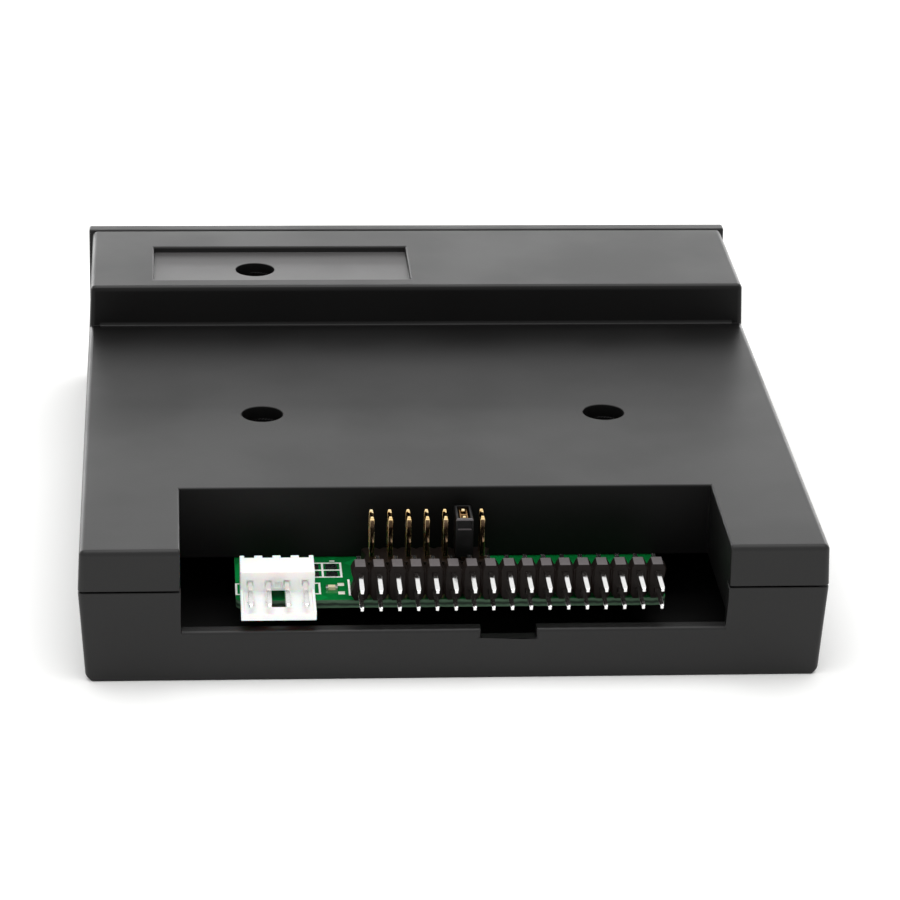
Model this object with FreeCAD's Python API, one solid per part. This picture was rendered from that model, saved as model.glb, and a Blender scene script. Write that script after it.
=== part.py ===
import FreeCAD, Part
import math
import os

from FreeCAD import Vector

# A drive emulator in a 3.5-inch case: a two-part moulded shell with a front bezel, and inside it one long
# circuit board that carries a 34-way drive header, a power socket and a jumper header in a bay at the rear,
# and a digit display, two push buttons, a lamp and a socket for a memory stick behind the bezel.
# Frame: +Z up, the bezel at -Y, the connector bay at +Y, +X to the right seen from the front.
# The origin is the middle of the footprint, on the surface that the case stands on. Lengths are millimetres.

# Case envelope
bezel_width = 101.6
overall_height = 25.4
bezel_overhang = 0.15
case_depth = 111.7
rear_height = 19.1
parting_height = 13.1
parting_gap = 0.2
raised_length = 25.95
cover_draw = 0.5
tray_draw = 0.9
wall = 2.0
edge_round = 0.8
edge_break = 0.2
base_bevel = 0.8
step_fillet = 0.6

# Front bezel
bezel_gap = 0.6
bezel_thick = 3.0
bezel_bevel = 0.8
rim_clearance = 0.2
rim_thick = 1.4
rim_depth = 5.0
hook_width = 8.0
hook_height = 0.7
hook_length = 1.6

# Tongue of the cover inside the tray wall
tongue_depth = 1.5
tongue_thick = 1.0
tongue_clearance = 0.15
tongue_setback = 9.0

# Connector bay at the rear
bay_width = 74.0
bay_depth = 21.45
bay_wall = 1.6
bay_sill_height = 7.15
sill_round = 0.5
key_slot_width = 7.5
key_slot_depth = 1.4
key_slot_shift = 0.5

# Bare recess in the raised top
recess_width = 39.5
recess_depth = 1.0
recess_x = 20.75
recess_front_margin = 7.6
recess_rear_margin = 3.25
recess_floor = 1.6

# Case screws, their wells in the cover and bosses in the tray
screw_x = 24.85
screw_rear_offset = 49.0
screw_front_shift = 0.25
well_bore = 3.0
well_wall = 1.4
well_floor = 2.0
screw_hole = 1.6
screw_head_radius = 2.6
screw_head_height = 1.9
screw_shank_radius = 1.3
screw_length = 6.4
screw_slot_width = 0.8
screw_slot_length = 3.4
screw_slot_depth = 1.0
boss_half = 3.2
boss_pilot = 1.35

# Standard fixing holes of a 3.5-inch drive
fixing_pilot = 1.3
fixing_boss = 3.3
side_hole_height = 5.0
side_hole_first = 21.0
side_hole_spacing = 60.0
side_hole_length = 6.0
base_hole_inset = 3.3
base_hole_first = 31.0
base_hole_rear = 11.3
base_hole_length = 5.0

# Main board
board_edge_margin = 0.04
board_socket_margin = 0.57
header_socket_gap = 4.86
board_thick = 1.2
board_top = 8.5
board_rear_setback = 7.1
board_front_gap = 0.7
board_corner = 1.0
pin_size = 0.64
clearance = 0.1

# 34-way drive header, lying on the board with its pins to the rear
pitch = 2.54
drive_columns = 17
drive_body_setback = 6.8
drive_tip_setback = 0.95
drive_bend_gap = 0.1
header_notch = 0.55
header_notch_depth = 0.9
header_face_notch = 0.25
pin_tip_length = 0.4
pin_tip_size = 0.4

# Jumper header, standing in the bay, and the shunt on one of its columns
jumper_columns = 7
jumper_shift = 1.95
jumper_gap = 1.34
jumper_pin_height = 8.8
shunt_column = 5
shunt_width = 2.44
shunt_length = 4.98
shunt_height = 5.7
shunt_gap = 0.65
shunt_wall = 0.4
shunt_clip_leaf = 0.2
shunt_clip_play = 0.04
shunt_clip_height = 5.0
shunt_clip_sink = 0.4

# Power socket, four posts over a slotted plate
power_posts = 4
power_pitch = 2.5
power_width = 10.15
power_face_setback = 7.9
power_end_setback = 0.6
power_block_length = 5.65
power_block_height = 3.9
power_plate_thick = 1.0
power_post_height = 2.2
power_tip_setback = 0.4
power_comb_width = 1.35
power_comb_depth = 0.75
power_window_width = 2.0
power_window_length = 5.0
power_undercut = 3.2
power_undercut_rise = 0.1
power_rail_width = 0.4
power_rail_height = 0.3
power_groove_width = 1.0
power_groove_depth = 0.25
power_groove_start = 3.2
power_groove_end = 2.6
power_mouth = 0.2
power_dent_width = 0.9
power_dent_height = 0.7
power_dent_depth = 0.3
power_dent_low = 1.6

# Push buttons, their switches and the lamp
front_axis_height = 3.5
button_shares = (-0.217, -0.02)
button_radius = 2.5
button_clearance = 0.15
button_proud = 0.8
button_flange_half = 3.4
button_flange_thick = 1.0
button_travel = 0.35
button_stem_radius = 1.6
switch_front_gap = 4.0
switch_size = 6.0
switch_depth = 3.5
switch_plunger_radius = 1.75
switch_plunger_proud = 1.5
switch_plunger_depth = 0.8
switch_foot_width = 0.7
switch_foot_spacing = 4.5
switch_frame_thick = 0.3
lamp_share = 0.148
lamp_radius = 1.5
lamp_flange_radius = 1.9
lamp_proud = 0.4
lamp_flange_thick = 1.0
lamp_lead = 0.5
lamp_lead_spacing = 2.54

# Socket for the memory stick
usb_share = 0.413
usb_width = 13.2
usb_height = 5.8
usb_depth = 13.0
usb_sheet = 0.3
usb_recess = 0.3
usb_hole_clearance = 0.25
usb_tongue_width = 11.1
usb_tongue_thick = 1.84
usb_tongue_length = 8.4
usb_core_depth = 3.6
usb_posts = 4
usb_contact_width = 1.0
usb_contact_thick = 0.2
usb_contact_pitch = 2.25
usb_tab_width = 2.0
usb_tab_spring = 0.25

# Digit display on its own upright board
display_share = -0.59
display_digits = 3
display_width = 22.6
display_low_gap = 1.1
display_top_gap = 2.0
display_depth = 6.2
display_gap = 0.3
display_board_width = 25.0
display_board_overlap = 0.7
display_board_thick = 1.2
window_width = 21.0
window_border = 0.8
window_thick = 2.0
window_flange = 1.2
window_flange_thick = 0.8
window_clearance = 0.1
digit_margin = 2.0
segment_width = 0.7
segment_thick = 0.1
segment_gap = 0.12
digit_pitch = 7.2
link_pins = 5
link_shift = 6.6
link_height = 1.9
link_reach = 2.2

# Parts on the board under the cover
mcu_size = 7.0
mcu_thick = 1.4
mcu_x = -4.0
mcu_offset = 62.0
mcu_lead_count = 8
mcu_lead_pitch = 0.8
mcu_lead_width = 0.35
lead_reach = 1.0
lead_thick = 0.15
lead_foot = 0.5
chip_standoff = 0.1
logic_length = 4.9
logic_width = 3.9
logic_thick = 1.5
logic_lead_count = 4
logic_lead_pitch = 1.27
logic_lead_width = 0.42
logic_x = (-14.0, 0.0)
logic_offset = 32.0
crystal_length = 11.05
crystal_width = 4.65
crystal_height = 3.5
crystal_x = -16.0
crystal_offset = 62.0
crystal_flange = 0.4
crystal_flange_thick = 0.4
regulator_length = 6.5
regulator_width = 3.5
regulator_thick = 1.6
regulator_x = 15.0
regulator_offset = 36.0
regulator_lead_count = 3
regulator_lead_pitch = 2.3
regulator_lead_width = 0.7
regulator_tab_width = 3.0
capacitor_radius = 3.15
capacitor_height = 5.4
capacitor_base = 6.6
capacitor_base_thick = 0.8
capacitor_positions = ((20.5, 29.0), (20.5, 58.5))
chip_length = 1.6
chip_width = 0.8
chip_thick = 0.45
chip_cap = 0.3
resistor_bay_shift = -0.2
resistor_bay_offsets = (15.3, 17.8)
resistor_row_x = -18.0
resistor_row_offset = 45.0
resistor_count = 6
capacitor_row_x = 4.5
capacitor_row_offset = 50.0
capacitor_count = 5
chip_row_pitch = 2.2
capacitor_bay_offset = 10.8
pad_size = 0.9
pad_thick = 0.05
bay_pad_shift = 1.3
bay_pad_offsets = (12.2, 9.4)

# Places that follow from the sizes above
case_width = bezel_width - 2 * bezel_overhang
overall_depth = case_depth + bezel_gap + bezel_thick + button_proud
rear_y = overall_depth / 2
case_front_y = rear_y - case_depth
bezel_back_y = case_front_y - bezel_gap
bezel_front_y = bezel_back_y - bezel_thick
step_y = case_front_y + raised_length
cover_bottom = parting_height + parting_gap / 2
tray_top = parting_height - parting_gap / 2
bay_back_y = rear_y - bay_depth
recess_length = raised_length - recess_front_margin - recess_rear_margin
recess_middle_y = case_front_y + recess_front_margin + recess_length / 2
base_hole_x = bezel_width / 2 - base_hole_inset
side_hole_places = (bezel_back_y + side_hole_first, bezel_back_y + side_hole_first + side_hole_spacing)
base_hole_places = (bezel_back_y + base_hole_first, rear_y - base_hole_rear)
board_bottom = board_top - board_thick
board_rear_y = rear_y - board_rear_setback
board_front_y = bezel_back_y + board_front_gap
drive_length = drive_columns * pitch
board_width = board_edge_margin + drive_length + header_socket_gap + power_width + board_socket_margin
drive_last_end = board_edge_margin - board_width / 2
drive_first_x = drive_last_end + drive_length - pitch / 2
drive_middle_x = drive_last_end + drive_length / 2
drive_lower_bend = drive_body_setback + pitch + drive_bend_gap + pin_size / 2
jumper_first_x = drive_first_x - jumper_shift
jumper_setback = drive_lower_bend + 2 * pitch + pin_size / 2 + jumper_gap
power_x = board_width / 2 - board_socket_margin - power_width / 2
key_slot_x = drive_middle_x + key_slot_shift
bay_gap_x = power_x - power_width / 2 - header_socket_gap / 2
front_axis_z = board_top + front_axis_height
button_x = tuple(share * bezel_width / 2 for share in button_shares)
lamp_x = lamp_share * bezel_width / 2
usb_x = usb_share * bezel_width / 2
display_x = display_share * bezel_width / 2
link_x = display_x + link_shift
display_low = board_top + display_low_gap
display_high = overall_height - wall - rim_clearance - rim_thick - display_top_gap
display_height = display_high - display_low
display_centre_height = (display_low + display_high) / 2
display_board_height = display_high + display_board_overlap - board_top
window_height = display_height - 2 * window_border
segment_height = display_height / 2 - digit_margin
well_outer = well_bore + well_wall
screw_places = (
    (screw_x, rear_y - screw_rear_offset),
    (-screw_x, rear_y - screw_rear_offset),
    (screw_x, recess_middle_y + screw_front_shift),
)
spare_post_place = (-screw_x, recess_middle_y + screw_front_shift)
margin = 1.0


# Basic solids

def block(x0, x1, y0, y1, z0, z1):
    """A box between two corners."""
    return Part.makeBox(x1 - x0, y1 - y0, z1 - z0, Vector(x0, y0, z0))


def rod(radius, x, y, z0, z1):
    """An upright cylinder between two heights."""
    return Part.makeCylinder(radius, z1 - z0, Vector(x, y, z0))


def rod_y(radius, x, y0, y1, z):
    """A cylinder along Y between two places."""
    return Part.makeCylinder(radius, y1 - y0, Vector(x, y0, z), Vector(0, 1, 0))


def rod_x(radius, x0, x1, y, z):
    """A cylinder along X between two places."""
    return Part.makeCylinder(radius, x1 - x0, Vector(x0, y, z), Vector(1, 0, 0))


def extrude(points, direction):
    """A closed outline of straight lines, pushed along a direction."""
    face = Part.Face(Part.makePolygon(points + [points[0]]))
    return face.extrude(direction)


def fuse(shapes):
    """One solid from several that touch or overlap."""
    first, rest = shapes[0], shapes[1:]
    joined = first.fuse(rest) if rest else first
    return joined.removeSplitter()


def cut(shape, tools):
    """A solid less several others."""
    return shape.cut(tools)


def group(shapes):
    """Separate solids that share one node."""
    return Part.makeCompound(shapes)


def round_edges(shape, radius, chosen):
    """Fillets on the edges that a test picks out."""
    edges = [edge for edge in shape.Edges if chosen(edge.BoundBox)]
    return shape.makeFillet(radius, edges)


def bevel_edges(shape, size, chosen):
    """Chamfers on the edges that a test picks out."""
    edges = [edge for edge in shape.Edges if chosen(edge.BoundBox)]
    return shape.makeChamfer(size, edges)


def frustum(place, half_x, half_y, shrink, height, turn):
    """A block that narrows from its base to its end; turn is 90 for up, -90 for down and 0 for along +Y."""
    solid = Part.makeWedge(-half_x, 0, -half_y, shrink - half_y, shrink - half_x,
                           half_x, height, half_y, half_y - shrink, half_x - shrink)
    solid.rotate(Vector(0, 0, 0), Vector(1, 0, 0), turn)
    solid.translate(place)
    return solid


def spread(count, step):
    """Places of a row of equal steps about its middle."""
    return [(i - (count - 1) / 2) * step for i in range(count)]


def near(a, b):
    """Whether two coordinates are the same place."""
    return abs(a - b) < 0.001


def outer_half_width(z):
    """Half the case's width at a height: widest at the parting line, drawn in above and below it."""
    if z >= parting_height:
        share = (z - parting_height) / (overall_height - parting_height)
        return case_width / 2 - cover_draw * share
    share = (parting_height - z) / parting_height
    return case_width / 2 - tray_draw * share


def case_prism(y0, y1, z0, z1, inset):
    """A length of the case's drafted cross-section between two heights, inset from its sides."""
    low = outer_half_width(z0) - inset
    high = outer_half_width(z1) - inset
    outline = [Vector(-low, y0, z0), Vector(low, y0, z0), Vector(high, y0, z1), Vector(-high, y0, z1)]
    return extrude(outline, Vector(0, y1 - y0, 0))


# Moulded case

def cover_block(y_end, z_top):
    """A rounded solid block of the cover, from the front mouth back to a wall."""
    solid = case_prism(case_front_y, y_end, cover_bottom, z_top, 0)

    def picked(box):
        at_top = near(box.ZMin, z_top)
        upright_at_end = near(box.YMin, y_end) and box.ZLength > edge_round
        return (at_top or upright_at_end) and box.YMax > case_front_y + margin

    return round_edges(solid, edge_round, picked)


def step_cove():
    """The small cove where the rear top meets the foot of the step."""
    half = outer_half_width(rear_height) - 2 * edge_round
    corner = Vector(-half, step_y, rear_height)
    along = Vector(-half, step_y + step_fillet, rear_height)
    up = Vector(-half, step_y, rear_height + step_fillet)
    bulge = step_fillet * (1 - math.sqrt(0.5))
    middle = Vector(-half, step_y + bulge, rear_height + bulge)
    arc = Part.Arc(along, middle, up).toShape()
    wire = Part.Wire([Part.makeLine(up, corner), Part.makeLine(corner, along), arc])
    return Part.Face(wire).extrude(Vector(2 * half, 0, 0))


def well_top(place):
    """Underside of the cover's skin over a screw: of the recess floor, or of the rear top."""
    if place[1] < step_y:
        return overall_height - recess_depth - recess_floor
    return rear_height - wall


def recess_block(z0, z1):
    """The bare recess between two heights."""
    half_x = recess_width / 2
    half_y = recess_length / 2
    y = recess_middle_y
    return block(recess_x - half_x, recess_x + half_x, y - half_y, y + half_y, z0, z1)


def recess_backing(z0, z1):
    """The thicker patch under the recess, run on to the step's wall."""
    half = (recess_width + wall) / 2
    y0 = case_front_y + recess_front_margin - wall / 2
    return block(recess_x - half, recess_x + half, y0, step_y - wall / 2, z0, z1)


def bay_side_wall(side):
    """One side wall of the connector bay; below the parting line it stops inside the tray's rear wall."""
    inner = side * bay_width / 2
    outer = side * (bay_width / 2 + bay_wall)
    x0, x1 = min(inner, outer), max(inner, outer)
    y0 = bay_back_y - bay_wall
    upper = block(x0, x1, y0, rear_y - wall, cover_bottom, rear_height - wall)
    lower = block(x0, x1, y0, rear_y - wall - rim_clearance, board_top + clearance, cover_bottom)
    return upper.fuse(lower)


def bay_walls():
    """The cover's three walls round the connector bay, up to the underside of its skin."""
    half = bay_width / 2
    back = block(-half - bay_wall, half + bay_wall, bay_back_y - bay_wall, bay_back_y, board_top + clearance,
                 rear_height - wall)
    return fuse([back, bay_side_wall(-1), bay_side_wall(1)])


def screw_wells():
    """The cover's three screw wells: square posts on the board, bored wide to a floor and narrow through it."""
    wells = []
    for x, y in screw_places:
        post = block(x - well_outer, x + well_outer, y - well_outer, y + well_outer, board_top, well_top((x, y)))
        wide = rod(well_bore, x, y, board_top + well_floor, overall_height)
        wells.append(cut(post, [wide, rod(screw_hole, x, y, board_top - margin, overall_height)]))
    return group(wells)


def cover_tongue(side):
    """The tongue inside one side of the case that keeps the two shells in line."""
    y0 = case_front_y + tongue_setback
    y1 = rear_y - wall - tongue_setback
    outer = outer_half_width(parting_height - tongue_depth) - wall - tongue_clearance
    inner = outer - tongue_thick
    x0, x1 = sorted((side * inner, side * outer))
    blade = block(x0, x1, y0, y1, parting_height - tongue_depth, cover_bottom + wall)
    reach = outer_half_width(cover_bottom + wall) - wall / 2
    x0, x1 = sorted((side * inner, side * reach))
    root = block(x0, x1, y0, y1, cover_bottom, cover_bottom + wall)
    return blade.fuse(root)


def hook_pocket_top(x):
    """The blind pocket in the cover's ceiling that one upper hook of the bezel snaps into."""
    return hook_space(x, overall_height - wall, 1)


def hook_space(x, z_face, direction):
    """Room for a hook in a wall: it bears on the pocket's front end and has play everywhere else."""
    rim_end = bezel_back_y + bezel_gap + rim_depth
    reach = hook_height - rim_clearance + clearance
    z0, z1 = sorted((z_face - direction * margin, z_face + direction * reach))
    half = hook_width / 2 + clearance
    return block(x - half, x + half, rim_end - hook_length, rim_end + clearance, z0, z1)


def hook_places():
    """X positions of the bezel's hooks along its upper and lower rims."""
    return (-bezel_width / 4, bezel_width / 4)


def opening_rim(box):
    """Whether an edge is the upper rim of the bay or of the recess."""
    def inside(x_middle, half_x, y_low, y_high):
        in_x = box.XMin > x_middle - half_x - clearance and box.XMax < x_middle + half_x + clearance
        return in_x and box.YMin > y_low - clearance and box.YMax < y_high + clearance

    half = recess_length / 2
    bay = near(box.ZMin, rear_height) and inside(0, bay_width / 2, bay_back_y, rear_y)
    recess = near(box.ZMin, overall_height) and inside(recess_x, recess_width / 2, recess_middle_y - half,
                                                       recess_middle_y + half)
    return near(box.ZLength, 0) and (bay or recess)


def top_cover():
    """The upper shell: rear top, step and raised front, opened for the bay, the recess and the wells."""
    shell = fuse([cover_block(rear_y, rear_height), cover_block(step_y, overall_height), step_cove()])
    mouth_y = case_front_y - margin
    low_room = case_prism(mouth_y, rear_y - wall, parting_height, rear_height - wall, wall)
    high_room = case_prism(mouth_y, step_y - wall, parting_height, overall_height - wall, wall)
    shell = cut(shell, [low_room, high_room])
    recess_top = overall_height - recess_depth
    pad = recess_backing(recess_top - recess_floor, overall_height - wall / 2)
    shell = fuse([shell, pad, cover_tongue(-1), cover_tongue(1)])
    half = bay_width / 2
    tools = [block(-half, half, bay_back_y, rear_y + margin, board_top, rear_height + margin)]
    tools.append(recess_block(recess_top, overall_height + margin))
    tools += [rod(well_bore, x, y, board_top, overall_height + margin) for x, y in screw_places]
    tools += [hook_pocket_top(x) for x in hook_places()]
    return bevel_edges(cut(shell, tools), edge_break, opening_rim)


def screw_boss(place):
    """A square post under the board, and the pilot hole of the screw that goes into it."""
    x, y = place
    post = block(x - boss_half, x + boss_half, y - boss_half, y + boss_half, wall / 2, board_bottom)
    return post, rod(boss_pilot, x, y, wall / 2 + margin, board_bottom + margin)


def side_fixing(side, y):
    """A blind fixing hole in a side wall: the thick block behind it and the hole."""
    face = outer_half_width(side_hole_height)
    inner = face - side_hole_length
    x0, x1 = sorted((side * (inner - fixing_pilot), side * (face - wall / 2)))
    pad = block(x0, x1, y - fixing_boss, y + fixing_boss, wall / 2, side_hole_height + fixing_boss)
    x0, x1 = sorted((side * inner, side * (face + margin)))
    return pad, rod_x(fixing_pilot, x0, x1, y, side_hole_height)


def base_fixing(side, y):
    """A blind fixing hole in the floor: the thick block over it and the hole."""
    x = side * base_hole_x
    x0, x1 = sorted((x - side * fixing_boss, x + side * fixing_boss))
    pad = block(x0, x1, y - fixing_boss, y + fixing_boss, wall / 2, base_hole_length + wall / 2)
    pad = pad.common(case_prism(case_front_y, rear_y, 0, tray_top, wall / 2))
    return pad, rod(fixing_pilot, x, y, -margin, base_hole_length)


def bottom_tray():
    """The lower shell: drafted sides, the low rear sill with its key slot, board posts and fixing holes."""
    solid = case_prism(case_front_y, rear_y, 0, tray_top, 0)
    solid = bevel_edges(solid, base_bevel, lambda box: near(box.ZMax, 0) and box.YLength > margin)
    solid = round_edges(solid, edge_round, lambda box: near(box.YMin, rear_y) and box.ZLength > margin)
    room = case_prism(case_front_y - margin, rear_y - wall, wall, tray_top + margin, wall)
    solid = cut(solid, [room])
    added = []
    tools = []
    for place in screw_places:
        post, hole = screw_boss(place)
        added.append(post)
        tools.append(hole)
    added.append(screw_boss(spare_post_place)[0])
    fixings = [side_fixing(side, y) for side in (-1, 1) for y in side_hole_places]
    fixings += [base_fixing(side, y) for side in (-1, 1) for y in base_hole_places]
    for pad, hole in fixings:
        added.append(pad)
        tools.append(hole)
    half = bay_width / 2 - clearance
    sill_y = rear_y - wall - margin
    tools.append(block(-half, half, sill_y, rear_y + margin, bay_sill_height, tray_top + margin))
    key_low = bay_sill_height - key_slot_depth
    tools.append(block(key_slot_x - key_slot_width / 2, key_slot_x + key_slot_width / 2, sill_y, rear_y + margin,
                       key_low, tray_top))
    tools += [hook_space(x, wall, -1) for x in hook_places()]
    tray = cut(fuse([solid] + added), tools)
    return round_edges(tray, sill_round, lambda box: near(box.ZMax, bay_sill_height) and near(box.YMin, rear_y))


def front_bezel():
    """The front plate with its bevelled edges, openings, inner rim and snap hooks."""
    half = bezel_width / 2
    plate = block(-half, half, bezel_front_y, bezel_back_y, 0, overall_height)
    plate = bevel_edges(plate, bezel_bevel, lambda box: near(box.YMax, bezel_front_y))
    rim_end = bezel_back_y + bezel_gap + rim_depth
    outside = wall + rim_clearance
    inside = outside + rim_thick
    rim = rim_bar(bezel_back_y, rim_end, outside).cut(rim_bar(bezel_back_y - margin, rim_end + margin, inside))
    solids = [plate, rim]
    for x in hook_places():
        solids.append(hook(x, rim_end, wall + rim_clearance, -1))
        solids.append(hook(x, rim_end, overall_height - wall - rim_clearance, 1))
    body = fuse(solids)
    tools = [window_block(window_clearance, bezel_front_y - margin, bezel_back_y + margin)]
    flange_y = bezel_front_y + window_thick - window_flange_thick
    tools.append(window_block(window_flange + window_clearance, flange_y, bezel_back_y + margin))
    for x in button_x:
        tools.append(rod_y(button_radius + button_clearance, x, bezel_front_y - margin, bezel_back_y + margin,
                           front_axis_z))
    tools.append(rod_y(lamp_radius + clearance, lamp_x, bezel_front_y - margin, bezel_back_y + margin,
                       front_axis_z))
    tools.append(usb_hole())
    return cut(body, tools)


def rim_bar(y0, y1, inset):
    """The case's inner cross-section at the mouth, inset from the outer skin on all four sides."""
    low = outer_half_width(0) - inset
    wide = outer_half_width(parting_height) - inset
    high = outer_half_width(overall_height) - inset
    z0, z1 = inset, overall_height - inset
    outline = [Vector(-low, y0, z0), Vector(low, y0, z0), Vector(wide, y0, parting_height), Vector(high, y0, z1),
               Vector(-high, y0, z1), Vector(-wide, y0, parting_height)]
    return extrude(outline, Vector(0, y1 - y0, 0))


def hook(x, y_end, z_face, direction):
    """A wedge on the rim that snaps into a pocket of the shell."""
    tip = z_face + direction * hook_height
    foot = z_face - direction * rim_thick / 2
    x0 = x - hook_width / 2
    outline = [Vector(x0, y_end, foot), Vector(x0, y_end, z_face), Vector(x0, y_end - hook_length, tip),
               Vector(x0, y_end - hook_length, foot)]
    return extrude(outline, Vector(hook_width, 0, 0))


def window_block(grow, y0, y1):
    """The display window's outline, grown on every side, between two depths."""
    half_x = window_width / 2 + grow
    half_z = window_height / 2 + grow
    return block(display_x - half_x, display_x + half_x, y0, y1,
                 display_centre_height - half_z, display_centre_height + half_z)


def display_window():
    """The clear window that fills its opening flush and is held from behind by a flange."""
    back_y = bezel_front_y + window_thick
    lens = window_block(0, bezel_front_y, back_y)
    flange = window_block(window_flange, back_y - window_flange_thick, back_y)
    return fuse([lens, flange])


def case_screws():
    """Three screws in their wells, each with a cross recess."""
    screws = []
    seat = board_top + well_floor
    for x, y in screw_places:
        top = seat + screw_head_height
        head = rod(screw_head_radius, x, y, seat, top)
        shank = rod(screw_shank_radius, x, y, seat - screw_length, seat)
        half_l = screw_slot_length / 2
        half_w = screw_slot_width / 2
        z0 = top - screw_slot_depth
        slots = [block(x - half_l, x + half_l, y - half_w, y + half_w, z0, top + margin),
                 block(x - half_w, x + half_w, y - half_l, y + half_l, z0, top + margin)]
        screws.append(cut(fuse([head, shank]), slots))
    return group(screws)


# Square posts and the headers that hold them

def tapered_tip(place, turn):
    """The blunt pyramid at the end of a post."""
    half = pin_size / 2
    return frustum(place, half, half, (pin_size - pin_tip_size) / 2, pin_tip_length, turn)


def bent_post(x, tip_y, z, bend_y):
    """A square post that comes out to the rear and turns down to the board."""
    half = pin_size / 2
    start = tip_y - pin_tip_length
    outline = [Vector(x - half, start, z - half), Vector(x - half, start, z + half),
               Vector(x - half, bend_y - half, z + half), Vector(x - half, bend_y - half, board_top),
               Vector(x - half, bend_y + half, board_top), Vector(x - half, bend_y + half, z - half)]
    post = extrude(outline, Vector(pin_size, 0, 0))
    return fuse([post, tapered_tip(Vector(x, start, z), 0)])


def drive_columns_x():
    """X of each column of the drive header."""
    return [drive_first_x - pitch * i for i in range(drive_columns)]


def drive_rows():
    """Height and bend of the drive header's two rows, lower row first."""
    lower = board_top + pitch / 2
    return ((lower, rear_y - drive_lower_bend), (lower + pitch, rear_y - drive_lower_bend - pitch))


def notched_edge(first_x, count, half, depth, level, outward):
    """Points along one edge of a header, drawn in at each joint between columns."""
    points = []
    for i in range(count):
        right = first_x - pitch * i + pitch / 2
        left = right - pitch
        points += [(right, level - outward * depth), (right - half, level), (left + half, level)]
    points.append((first_x - pitch * count + pitch / 2, level - outward * depth))
    return points


def drive_header_body():
    """The black moulding of the 34-way header, notched between columns and at the middle of its ends."""
    y0 = rear_y - drive_body_setback - pitch
    y1 = y0 + pitch
    z0 = board_top
    z1 = board_top + 2 * pitch
    top = notched_edge(drive_first_x, drive_columns, header_notch, header_notch_depth, z1, 1)
    bottom = notched_edge(drive_first_x, drive_columns, header_notch, header_notch_depth, z0, -1)
    end_low_x = top[-1][0] + header_notch
    end_high_x = top[0][0] - header_notch
    middle = (z0 + z1) / 2
    outline = top + [(end_low_x, middle)] + bottom[::-1] + [(end_high_x, middle)]
    front = extrude([Vector(x, y0, z) for x, z in outline], Vector(0, pitch, 0))
    rear_edge = notched_edge(drive_first_x, drive_columns, header_face_notch, header_face_notch, y1, 1)
    front_edge = notched_edge(drive_first_x, drive_columns, header_face_notch, header_face_notch, y0, -1)
    plan = extrude([Vector(x, y, z0) for x, y in rear_edge + front_edge[::-1]], Vector(0, 0, 2 * pitch))
    body = front.common(plan)
    half = pin_size / 2
    holes = []
    for x in drive_columns_x():
        for z, _ in drive_rows():
            holes.append(block(x - half, x + half, y0 - margin, y1 + margin, z - half, z + half))
    return cut(body, holes)


def drive_header_pins():
    """The 34 posts of the drive header."""
    tip_y = rear_y - drive_tip_setback
    return group([bent_post(x, tip_y, z, bend_y) for z, bend_y in drive_rows() for x in drive_columns_x()])


def jumper_columns_x():
    """X of each column of the jumper header."""
    return [jumper_first_x - pitch * i for i in range(jumper_columns)]


def jumper_rows_y():
    """Y of the jumper header's two rows."""
    middle = rear_y - jumper_setback
    return (middle - pitch / 2, middle + pitch / 2)


def jumper_header_body():
    """The black base of the jumper header, drawn in between its columns."""
    middle = rear_y - jumper_setback
    rear_edge = notched_edge(jumper_first_x, jumper_columns, header_notch, header_notch, middle + pitch, 1)
    front_edge = notched_edge(jumper_first_x, jumper_columns, header_notch, header_notch, middle - pitch, -1)
    end_low = (rear_edge[-1][0] + header_notch, middle)
    end_high = (rear_edge[0][0] - header_notch, middle)
    outline = rear_edge + [end_low] + front_edge[::-1] + [end_high]
    body = extrude([Vector(x, y, board_top) for x, y in outline], Vector(0, 0, pitch))
    half = pin_size / 2
    holes = [block(x - half, x + half, y - half, y + half, board_top - margin, board_top + pitch + margin)
             for x in jumper_columns_x() for y in jumper_rows_y()]
    return cut(body, holes)


def jumper_header_pins():
    """The 14 upright posts of the jumper header."""
    half = pin_size / 2
    top = board_top + jumper_pin_height - pin_tip_length
    posts = []
    for x in jumper_columns_x():
        for y in jumper_rows_y():
            post = block(x - half, x + half, y - half, y + half, board_top, top)
            posts.append(fuse([post, tapered_tip(Vector(x, y, top), 90)]))
    return group(posts)


def shunt_place():
    """The shunt's centre in plan and the height of its foot."""
    x = jumper_first_x - pitch * shunt_column
    return x, rear_y - jumper_setback, board_top + pitch + shunt_gap


def jumper_shunt_cap():
    """The black sleeve of the shunt, open at both ends."""
    x, y, z = shunt_place()
    half_x = shunt_width / 2
    half_y = shunt_length / 2
    sleeve = block(x - half_x, x + half_x, y - half_y, y + half_y, z, z + shunt_height)
    sleeve = round_edges(sleeve, shunt_wall / 2, lambda box: near(box.ZLength, shunt_height))
    room = block(x - half_x + shunt_wall, x + half_x - shunt_wall, y - half_y + shunt_wall, y + half_y - shunt_wall,
                 z - margin, z + shunt_height + margin)
    return cut(sleeve, [room])


def jumper_shunt_clip():
    """The spring strip inside the shunt: two leaves joined by a web between the posts."""
    x, y, z = shunt_place()
    z0 = z + shunt_height - shunt_clip_sink - shunt_clip_height
    z1 = z + shunt_height - shunt_clip_sink
    inner = pin_size / 2 + shunt_clip_play
    half_y = shunt_length / 2 - shunt_wall
    leaves = []
    for side in (-1, 1):
        x0, x1 = sorted((x + side * inner, x + side * (inner + shunt_clip_leaf)))
        leaves.append(block(x0, x1, y - half_y, y + half_y, z0, z1))
    web = block(x - inner, x + inner, y - shunt_clip_leaf, y + shunt_clip_leaf, z0, z1)
    return fuse(leaves + [web])


# Power socket

def power_posts_x():
    """X of each post of the power socket."""
    first = power_x + power_pitch * (power_posts - 1) / 2
    return [first - power_pitch * i for i in range(power_posts)]


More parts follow.
